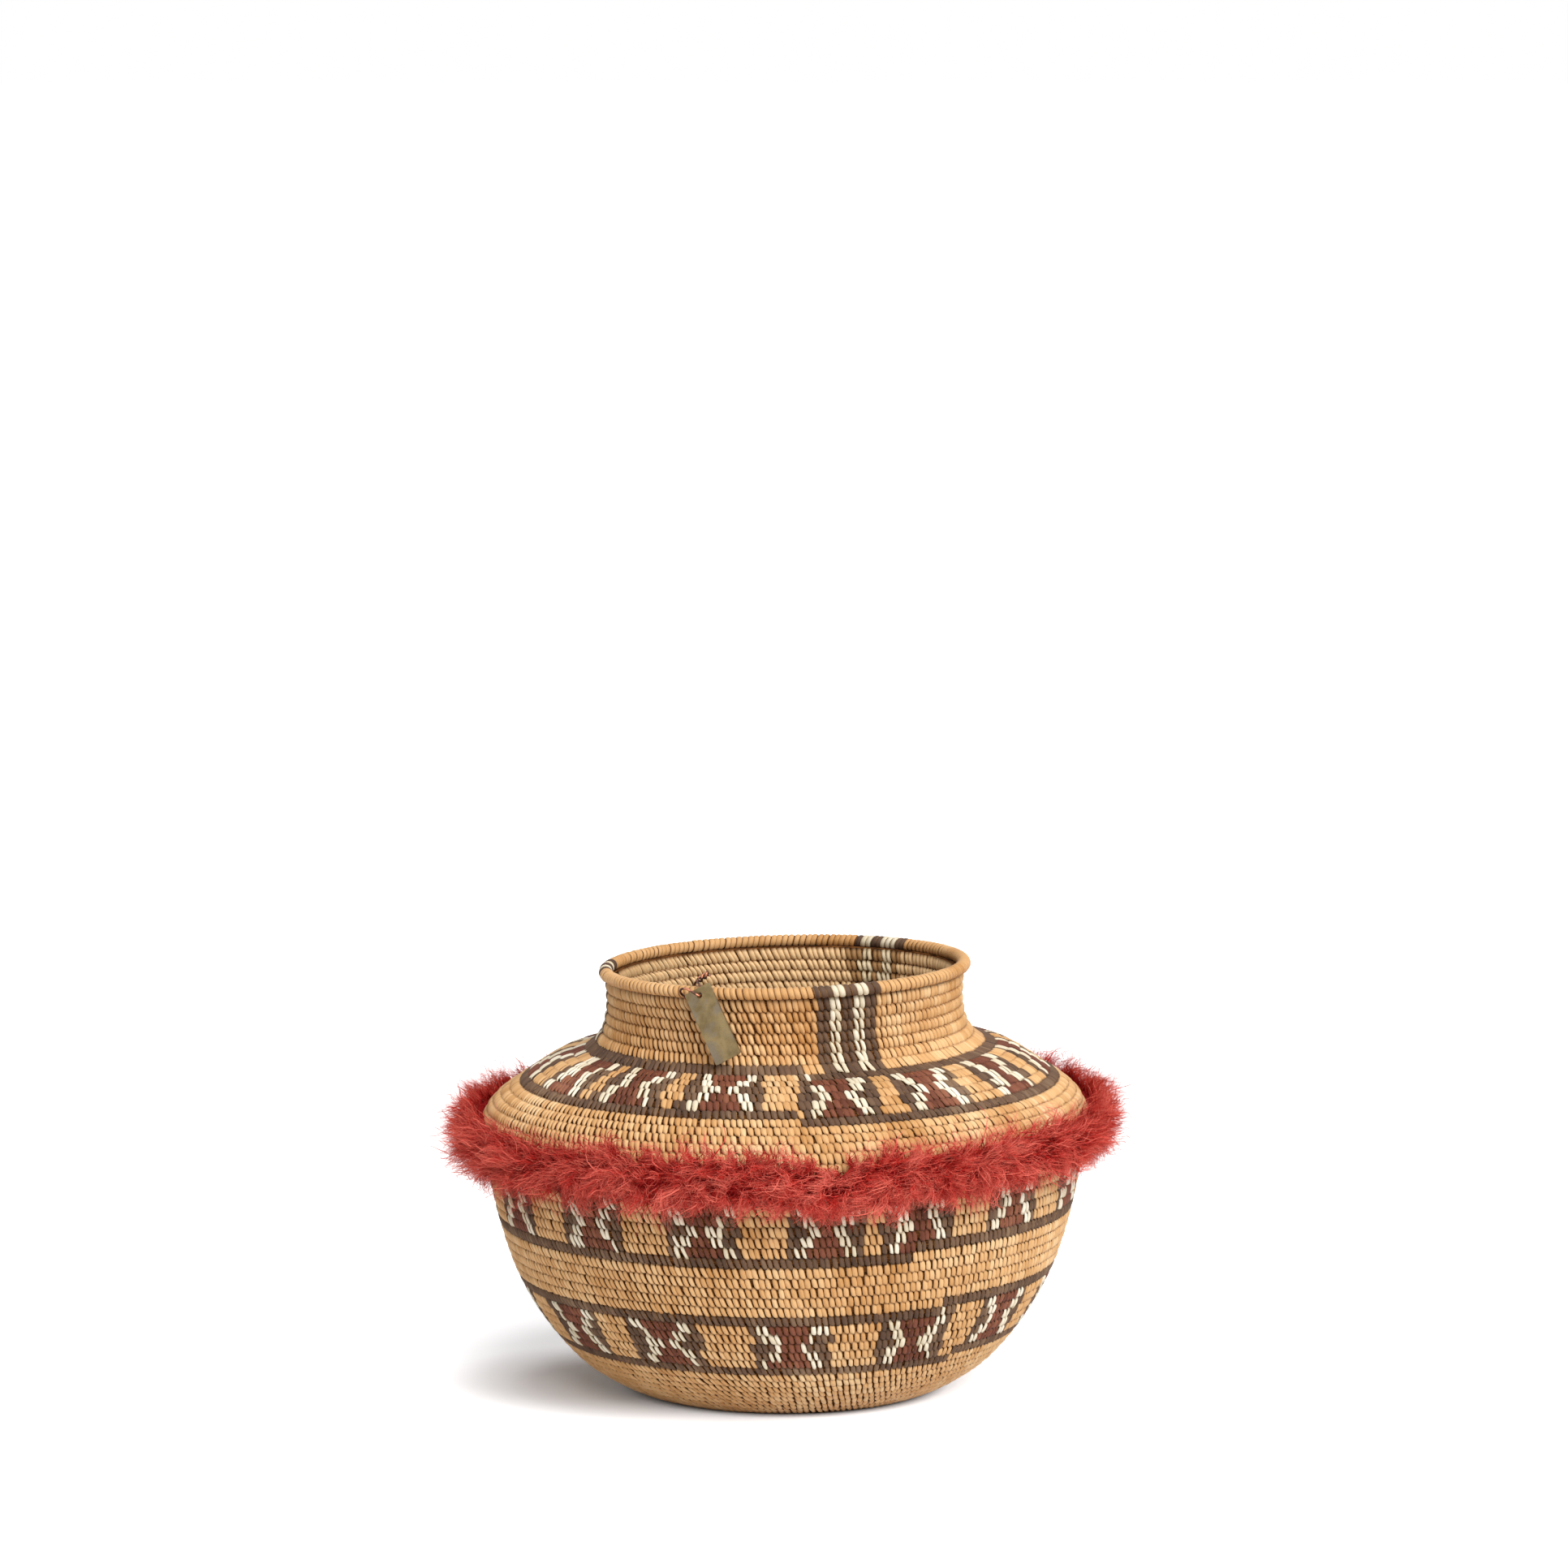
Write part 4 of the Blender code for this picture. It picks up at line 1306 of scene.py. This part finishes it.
@dataclass
class RimCoil:
    """The rim: one thicker coil, wrapped all round with splint and crossed by the neck's stripes.

    Attributes:
        open_angle: How far from straight down a wrap starts and ends.
        tuck: How far its ends are drawn in.
        core_inset: How much thinner the coil inside the wraps is.
    """

    node: str = "rim_coil"
    wrap_width: float = 2.08 * MM
    lean: float = 0.5 * MM
    rows: int = 17
    columns: int = 5
    open_angle: float = math.radians(20.0)
    dome: float = 0.46 * MM
    tuck: float = 0.35 * MM
    core_inset: float = 0.50 * MM
    core_steps: int = 200
    core_sides: int = 16

    def build(self, shape: Shape, pattern: Pattern, finishes: Finishes, rng: Random) -> list[Object]:
        """Make the wraps and the coil inside them.

        Args:
            shape: The wall's shape.
            pattern: The sewn pattern.
            finishes: The materials.
            rng: Source of the small differences.

        Returns:
            The wraps, then the coil.
        """
        count = round(math.tau * shape.rim_radius / self.wrap_width)
        room = math.tau * shape.rim_radius / count
        angles = wrapped(turns_of(count))
        chosen = pattern.splints(shape.wall_rounds, angles, shape.rim_radius / room, rng)
        own = rng.random(count)
        share = np.linspace(0, 1, self.rows)[None, :, None]
        across = np.linspace(-1, 1, self.columns)[None, None, :]
        swing = self.open_angle - math.pi / 2 + share * (math.tau - 2 * self.open_angle)
        shifts = (rng.normal(0, 0.05, count) * room)[:, None, None]
        half = room / 2 * (0.99 + rng.normal(0, 0.04, count))[:, None, None]
        swell = shape.rim_coil - self.dome * np.abs(across) ** 2.8 - self.tuck * np.abs(2 * share - 1) ** 8
        swell = swell + rng.normal(0, 0.04 * MM, count)[:, None, None]
        side = shifts + half * across - self.lean * np.sin(swing)
        points = shape.leaned(
            shape.rim_radius + swell * np.cos(swing),
            angles[:, None, None] + side / shape.rim_radius,
            shape.rim_height + swell * np.sin(swing),
        )
        # The rim is the part most handled: its wraps are evenly toned, and their ends take none of the
        # painted shade of the sunk ends
        marks = stitch_marks(own, self.rows, self.columns)
        marks[:, 0] *= 0.35
        marks[:, 1] = 0.3 + 0.4 * marks[:, 1]
        quads = grid_quads(count, self.rows, self.columns)
        slots = np.repeat(chosen, (self.rows - 1) * (self.columns - 1))
        wraps = link_mesh(f"{self.node}_wraps", points, quads, finishes.splints, slots, marks)
        turns = turns_of(self.core_steps)[:, None]
        swing = turns_of(self.core_sides)[None, :]
        inner = shape.rim_coil - self.core_inset
        core = shape.leaned(
            shape.rim_radius + inner * np.cos(swing), turns, shape.rim_height + inner * np.sin(swing)
        )
        quads = grid_quads(1, self.core_steps, self.core_sides, wrap=True, closed=True)
        return [wraps, link_mesh(f"{self.node}_foundation", core, quads, [finishes.foundation])]


@dataclass(frozen=True)
class Ripple:
    """A smooth random pattern round the fringe, so that neighbouring fibres go the same way.

    Attributes:
        turns: Waves round the basket, for each of its parts.
        tilts: How much each part changes with a fibre's lift.
        phases: Where each part starts.
    """

    turns: Array
    tilts: Array
    phases: Array

    @classmethod
    def random(cls, rng: Random, wave: float, round_length: float, parts: int = 6) -> "Ripple":
        """Draw a pattern.

        Args:
            rng: Source of the parts.
            wave: Usual length of a wave.
            round_length: Length of the fringe.
            parts: How many parts it is the sum of.

        Returns:
            The pattern.
        """
        turns = np.round(round_length / wave * rng.uniform(0.5, 1.5, parts))
        tilts = 20.0 * MM / wave * rng.uniform(-1.0, 1.0, parts)
        return cls(turns, tilts, rng.uniform(0, math.tau, parts))

    def at(self, angle: Array, lift: Array) -> Array:
        """Value for each fibre, about between -1 and 1, from its angle and its lift."""
        parts = np.sin(angle[:, None] * self.turns + lift[:, None] * self.tilts + self.phases)
        return parts.sum(axis=1) * math.sqrt(2 / len(self.turns)) / 1.6


@dataclass(frozen=True)
class Locks:
    """The locks that most fibres of the fringe lie in.

    Attributes:
        own_share: How much of a difference a fibre has of its own within its lock.
    """

    rng: Random
    count: int
    number: Array
    loose: Array
    own_share: float = 0.20

    def varied(self, level: float) -> Array:
        """Draw differences that the fibres of a lock share, with a smaller one of each fibre.

        Args:
            level: Usual size of a difference.

        Returns:
            The difference of each fibre.
        """
        shared = self.rng.normal(0, level, self.count)[self.number]
        own = self.rng.normal(0, level, len(self.number)) * np.where(self.loose, 1.0, self.own_share)
        return np.where(self.loose, 0.0, shared) + own


@dataclass
class WoolFringe:
    """Fringe of combed wool round the shoulder's edge: a matted body and tens of thousands of curly fibres.

    Attributes:
        fibre_width: Width of a fibre. Real wool is a quarter of that, too fine to show.
        strand_width: Width of a flat strand of fibres that cling together.
        root_out: How far outside it they start.
        root_up: How far above or below it they start.
        join_angle: Where the fringe's two ends meet.
        tilt: How much lower the fringe hangs in front than behind.
    """

    fibres: int = 64000
    locks: int = 1800
    loose_share: float = 0.22
    points_along: int = 8
    fibre_width: float = 0.13 * MM
    strand_width: float = 0.42 * MM
    strand_share: float = 0.16
    length: float = 16.2 * MM
    root_radius: float = 104.2 * MM
    root_height: float = 90.8 * MM
    root_out: float = 2.4 * MM
    root_up: float = 4.4 * MM
    join_angle: float = math.radians(8.7)
    join_width: float = math.radians(3.2)
    tilt: float = 1.6 * MM
    body_size: float = 4.4 * MM
    body_steps: int = 360
    body_sides: int = 20
    sectors: int = 8

    def join(self, angle: Array) -> Array:
        """How close each place is to the join of the fringe's two ends, from 0 to 1."""
        off = wrapped(angle - self.join_angle)
        return np.exp(-((off / self.join_width) ** 2))

    def sag(self, angle: Array) -> Array:
        """How far the fringe hangs below its usual height at each angle."""
        waves = 0.7 * MM * np.sin(5 * angle + 0.6) + 0.5 * MM * np.sin(13 * angle)
        return self.tilt * np.cos(angle) + waves + 1.6 * MM * self.join(angle)

    def build(self, shape: Shape, rng: Random, material: Material) -> list[Object]:
        """Make the matted body and the fibres, in sectors.

        Args:
            shape: The wall's shape.
            rng: Source of the fibres' places.
            material: The wool.

        Returns:
            The body, then the fibres' sectors.
        """
        made = [self._body(shape, rng, material)]
        angle, points, own = self._fibres(shape, rng)
        middle = (angle + math.pi / self.sectors) % math.tau
        sector_of = np.floor(middle / (math.tau / self.sectors)).astype(int)
        for sector in range(self.sectors):
            mine = sector_of == sector
            name = f"wool_trim_fibres_{sector + 1}"
            made.append(self._ribbons(name, points[mine], own[mine], rng, material))
        return made

    def _fibres(self, shape: Shape, rng: Random) -> tuple[Array, Array, Array]:
        """Lay out the fibres' centrelines, step by step from the root, most of them together in locks.

        Args:
            shape: The wall's shape.
            rng: Source of the differences.

        Returns:
            Where each fibre starts, its points and its own number.
        """
        count = self.fibres
        around = math.tau * self.root_radius
        ripples = [Ripple.random(rng, wave * MM, around) for wave in (4.2, 22.0, 7.0, 7.0, 8.0)]
        lock = rng.integers(0, self.locks, count)
        loose = rng.random(count) < self.loose_share
        locks = Locks(rng, self.locks, lock, loose)
        free = rng.random(count) * math.tau
        angle = (rng.random(self.locks) * math.tau)[lock] + rng.normal(0, 0.0052, count)
        angle = np.where(loose, free, angle) % math.tau
        lift = rng.uniform(-1.5, 1.3, self.locks)[lock]
        lift = np.where(loose, rng.uniform(-1.6, 1.4, count), lift + rng.normal(0, 0.07, count))
        fine, coarse, swirl, bend, size = (ripple.at(angle, lift) for ripple in ripples)
        height = self.root_height + self.root_up * np.sin(lift) + rng.normal(0, 0.5 * MM, count)
        height = height - self.sag(angle)
        radius = self.root_radius + self.root_out * np.cos(lift) + rng.normal(0, 0.4 * MM, count)
        reach = 0.92 + 0.08 * coarse + 0.20 * size + locks.varied(0.15) + 0.20 * fine
        # Fibres that stand up are shorter, and so are those beside the join and those combed up on the right
        reach = reach * rng.uniform(0.55, 1.08, count) * (1.0 - 0.20 * np.clip(lift, 0, 2))
        reach = reach * (1.0 - 0.75 * self.join(angle) * np.clip(lift + 0.5, 0, 1))
        combed_up = np.clip(0.5 + 0.8 * np.sin(angle + 0.75), 0, 1)
        reach = reach * (1.0 - 0.30 * combed_up * np.clip(0.3 - lift, 0, 1))
        step = self.length * np.clip(reach, 0.2, 1.35) / (self.points_along - 1)
        own = np.clip(0.44 + 0.36 * fine + 0.16 * size + locks.varied(0.16), 0, 1)
        side_start = 0.30 * swirl + locks.varied(0.20)
        side_bend = 0.45 * bend + locks.varied(0.32)
        lift_bend = 0.5 * fine + locks.varied(0.35) - 0.25
        wave = 7.0 + locks.varied(1.6)
        phase = 2.0 * swirl + locks.varied(1.2)
        curl = 0.6 * np.sign(bend) * rng.uniform(0.3, 1.3, self.locks)[lock] + rng.normal(0, 0.25, count)
        out, up, along = np.zeros((3, count))
        points = []
        for share in np.linspace(0, 1, self.points_along):
            points.append(shape.leaned(radius + out, angle + along / self.root_radius, height + up))
            side = side_start + side_bend * share + curl * share**2 + 0.65 * np.sin(wave * share + phase)
            rise = lift + lift_bend * share + 0.60 * np.sin(wave * share * 0.8 + 2.0 * phase)
            out = out + step * np.cos(rise) * np.cos(side)
            up = up + step * np.sin(rise) * np.cos(side)
            along = along + step * np.sin(side)
        return angle, np.stack(points, axis=1), own

    def _ribbons(
        self, name: str, lines: Array, own: Array, rng: Random, material: Material
    ) -> Object:
        """Give the fibres a width that tapers to the tip.

        Args:
            name: The object's name.
            lines: Points of each fibre.
            own: Each fibre's own number.
            rng: Source of the way each fibre faces.
            material: The wool.

        Returns:
            The fibres as one object.
        """
        count, along = lines.shape[:2]
        tangent = np.gradient(lines, axis=1)
        tangent /= np.linalg.norm(tangent, axis=2, keepdims=True) + 1e-9
        # The ribbons face outward, so that the light falls evenly over a lock
        outward = lines[:, :1] * np.array([1.0, 1.0, 0.0])
        outward /= np.linalg.norm(outward, axis=2, keepdims=True)
        outward[..., 2] = 0.35
        side = np.cross(tangent, outward + 0.30 * rng.normal(size=(count, 1, 3)))
        side /= np.linalg.norm(side, axis=2, keepdims=True) + 1e-9
        share = np.linspace(0, 1, along)
        taper = (1.0 - 0.85 * share**1.6)[None, :, None]
        # Some fibres cling together in flat strands
        width = np.where(rng.random((count, 1, 1)) < self.strand_share, self.strand_width, self.fibre_width)
        half = width / 2 * taper * rng.uniform(0.6, 1.3, (count, 1, 1))
        points = np.stack([lines - side * half, lines + side * half], axis=2)
        marks = np.ones((count, along, 2, 4))
        marks[..., 0] = own[:, None, None]
        marks[..., 1] = share[None, :, None]
        return link_mesh(name, points, grid_quads(count, along, 2), [material], None, marks)

    def _body(self, shape: Shape, rng: Random, material: Material) -> Object:
        """Make the matted body of the fringe, a lumpy roll on the wall.

        Args:
            shape: The wall's shape.
            rng: Source of the lumps.
            material: The wool.

        Returns:
            The body.
        """
        turns = turns_of(self.body_steps)[:, None]
        swing = np.linspace(-2.1, 2.1, self.body_sides)[None, :]
        phases = rng.uniform(0, 6, 3)
        lumps = 0.45 * np.sin(23 * turns + phases[0] + 2 * swing)
        lumps = lumps + 0.35 * np.sin(41 * turns + phases[1] - swing)
        lumps = lumps + 0.35 * np.sin(67 * turns + phases[2] + 3 * swing)
        size = (self.body_size + lumps * MM) * (1.0 - 0.35 * self.join(turns))
        radius = self.root_radius + size * 0.85 * np.cos(swing)
        height = self.root_height - 0.4 * MM + size * 1.1 * np.sin(swing) - self.sag(turns)
        # Painted shade: the matted body is as dark as the fibres' roots, deep in the fringe
        marks = np.tile([0.3, 0.10, 0.0, 1.0], (self.body_steps * self.body_sides, 1))
        quads = grid_quads(1, self.body_steps, self.body_sides, wrap=True, closed=True)
        points = shape.leaned(radius, turns, height)
        return link_mesh("wool_trim_body", points, quads, [material], None, marks)


@dataclass(frozen=True)
class Lamp:
    """A far lamp behind a diffuser.

    Attributes:
        name: Its name.
        direction: Where it hangs, from the basket.
        spread: How wide it looks from the basket.
        strength: Its light on a surface square to it.
    """

    name: str
    direction: Spot
    spread: float
    strength: float


@dataclass
class Studio:
    """White floor with a painted shadow, soft lights and the camera.

    Attributes:
        paper_glow: Colour in which the floor shows white to the camera.
        lift_in_shadow: How much the floor is lifted towards white in the middle of the painted shadow.
        lift_beside: How much it is lifted elsewhere.
        foot_middle: Middle of the floor that the basket overhangs.
        foot_clear: How much of the lift is left there.
        contact_reach: Where the painted dark line of shadow round the foot starts to clear, and where it
            ends.
    """

    camera_place: Spot = (-0.24530791 * MM, -2144.4 * MM, 465.4 * MM)
    camera_pitch: float = math.radians(83.11)
    view_angle: float = math.radians(14.0)
    floor_size: float = 40.0
    paper: str = "FBFBFB"
    paper_glow: str = "F6FAFF"
    lamps: tuple[Lamp, ...] = (
        Lamp("overhead", (0.0, -0.22, 1.0), math.radians(22.0), 1.12),
        Lamp("side", (0.88, -0.90, 1.04), math.radians(30.0), 1.92),
        Lamp("front", (0.16, -1.0, 0.58), math.radians(26.0), 1.22),
    )
    room_strength: float = 0.19
    room_tint: str = "FFEFDC"
    lift_in_shadow: float = 0.20
    lift_beside: float = 0.60
    shadow_middle: Spot = (-58.0 * MM, 2.0 * MM, 0.0)
    shadow_reach: tuple[float, float] = (28.0 * MM, 62.0 * MM)
    foot_middle: Spot = (-26.0 * MM, 2.0 * MM, 0.0)
    foot_reach: tuple[float, float] = (42.0 * MM, 70.0 * MM)
    foot_clear: float = 0.55
    contact_reach: tuple[float, float] = (49.0 * MM, 56.0 * MM)

    def build(self) -> None:
        """Set up the whole studio."""
        self._floor()
        self._lights()
        self._world()
        camera = link_object("camera", bpy.data.cameras.new("camera"))
        camera.data.angle = self.view_angle
        camera.data.clip_end = 100.0
        camera.location = self.camera_place
        camera.rotation_euler = (self.camera_pitch, 0.0, 0.0)
        bpy.context.scene.camera = camera
        bpy.context.scene.view_settings.view_transform = "Standard"

    def _floor(self) -> None:
        """Make the floor, white paper that glows pure white to the camera, less so in a painted shadow round
        the foot.
        """
        shape = bmesh.new()
        bmesh.ops.create_grid(shape, x_segments=2, y_segments=2, size=self.floor_size)
        floor = link_shape("floor", shape)
        material, tree, shader = new_material("paper_white_matt")
        place = add_node(tree, "TexCoord").outputs["Object"]
        from_shadow, from_foot, from_axis = (
            add_node(tree, "VectorMath", [place, middle], operation="DISTANCE").outputs["Value"]
            for middle in (self.shadow_middle, self.foot_middle, (0.0, 0.0, 0.0))
        )
        # The paper shows white, except in a painted shadow, densest left of its foot, where it glows less
        lift = [from_shadow, *self.shadow_reach, self.lift_in_shadow, self.lift_beside]
        lift = add_node(tree, "MapRange", lift)
        # Painted shade close to the foot, and a painted dark line round it, where hardly any light comes
        # under the basket
        nearby = ((from_foot, self.foot_reach, self.foot_clear), (from_axis, self.contact_reach, 0.0))
        for distance, reach, least in nearby:
            clear = add_node(tree, "MapRange", [distance, *reach, least, 1.0])
            lift = add_node(tree, "Math", [lift, clear], operation="MULTIPLY")
        shown = add_node(tree, "Math", [self._seen(tree), lift], operation="MULTIPLY")
        set_inputs(shader, {"Base Color": self.paper, "Roughness": 0.9, "Specular IOR Level": 0.0})
        set_inputs(shader, {"Emission Color": self.paper_glow, "Emission Strength": shown})
        floor.data.materials.append(material)

    @staticmethod
    def _seen(tree: Tree) -> Node:
        """Tell what the camera sees from the light on the object.

        Args:
            tree: The node tree.

        Returns:
            A node that gives 1 for what the camera sees, also in metal and through glass, and else 0.
        """
        path = add_node(tree, "LightPath").outputs
        mirrored = [path["Is Glossy Ray"], path["Is Transmission Ray"]]
        mirrored = add_node(tree, "Math", mirrored, operation="MAXIMUM")
        return add_node(tree, "Math", [path["Is Camera Ray"], mirrored], operation="MAXIMUM")

    def _lights(self) -> None:
        """Hang the lamps."""
        for lamp in self.lamps:
            data = bpy.data.lights.new(lamp.name, "SUN")
            data.angle = lamp.spread
            data.energy = lamp.strength
            made = link_object(lamp.name, data)
            made.rotation_euler = (-Vector(lamp.direction)).to_track_quat("-Z", "Y").to_euler()

    def _world(self) -> None:
        """Light the room evenly, and show white to the camera."""
        world = bpy.data.worlds.new("studio")
        bpy.context.scene.world = world
        world.use_nodes = True
        tree = world.node_tree
        seen = self._seen(tree)
        strength = add_node(tree, "MapRange", [seen, 0.0, 1.0, self.room_strength, 1.0])
        tint = add_node(tree, "Mix", {0: seen, 6: self.room_tint, 7: "FFFFFF"}, data_type="RGBA")
        set_inputs(tree.nodes["Background"], {"Color": tint.outputs[2], "Strength": strength})


def wall_courses() -> list[SewnCourse]:
    """Lay out the wall's courses.

    Returns:
        The courses, from the base up to the neck.
    """
    shoulder = {"form": SHOULDER_STITCH, "stitch_width": 2.28 * MM, "fill": 1.07}
    band = {"form": BAND_STITCH}
    neck = {
        "form": NECK_STITCH,
        "inner_form": NECK_STITCH,
        "stitch_width": 2.12 * MM,
        "inner_lean": 1.8,
        "foundation_depth": 1.12 * MM,
        "groove": 0.50 * MM,
        "top_gap": -1.2 * MM,
    }
    layout = (
        ("base_coils", 11, {"lean": 1.1 * MM, "even": False}),
        ("foot_coils", 10, {"lean": 1.35 * MM, "even": False, "fill": 0.99}),
        ("lower_band_foot_line", 1, {}),
        ("lower_band_coils", 5, {}),
        ("lower_band_top_line", 1, {}),
        ("belly_coils", 5, {"fill": 1.03}),
        ("upper_band_foot_line", 1, {}),
        ("upper_band_coils", 5, {}),
        ("upper_band_top_line", 1, {}),
        ("shoulder_edge_coils", 3, {"lean": 0.5 * MM, **shoulder}),
        ("shoulder_coils", 5, {"lean": 0.7 * MM, **shoulder}),
        ("shoulder_band_foot_line", 1, {"lean": 0.7 * MM, "form": SHOULDER_STITCH, "fill": 1.05}),
        ("shoulder_band_coils", 5, {"lean": 0.8 * MM, "fill": 1.06, **band}),
        ("neck_foot_line", 1, {"lean": 0.9 * MM, "inner_form": NECK_STITCH, "fill": 1.08, **band}),
        ("neck_coils", 6, {"lean": 1.0 * MM, **neck}),
    )
    courses = []
    first = 0
    for node, count, looks in layout:
        courses.append(SewnCourse(node, first, count, **looks))
        first += count
    return courses


def join(pieces: list[Object], node: str) -> None:
    """Fix new pieces to the basket in place of a solid.

    Args:
        pieces: The pieces, the one that stands for the solid first.
        node: The solid.
    """
    for piece in pieces:
        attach(piece, "basket")
    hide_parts(node)
    LOG.info("%s: %d faces", node, sum(len(piece.data.polygons) for piece in pieces))


def main() -> None:
    """Build the basket's looks round the solids."""
    logging.basicConfig(level=logging.INFO, format="%(message)s")
    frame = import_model()
    rng = np.random.default_rng(SEED)
    shape = Shape()
    pattern = Pattern()
    finishes = Finishes()
    for course in wall_courses():
        gap = WireGap(shape) if course.node == "neck_coils" else None
        join(course.build(shape, pattern, finishes, rng, gap), course.node)
    join([StartKnot().build(shape, finishes, rng)], "start_knot")
    join(RimCoil().build(shape, pattern, finishes, rng), "rim_coil")
    join(WoolFringe().build(shape, rng, WoolFinish().material()), "wool_trim")
    for node, finish in (("tag", BrassFinish()), ("tag_wire", WireFinish())):
        solid = frame["nodes"][node]
        solid.data.materials.clear()
        solid.data.materials.append(finish.material())
        LOG.info("%s: finished", node)
    Studio().build()


if __name__ == "__main__":
    main()
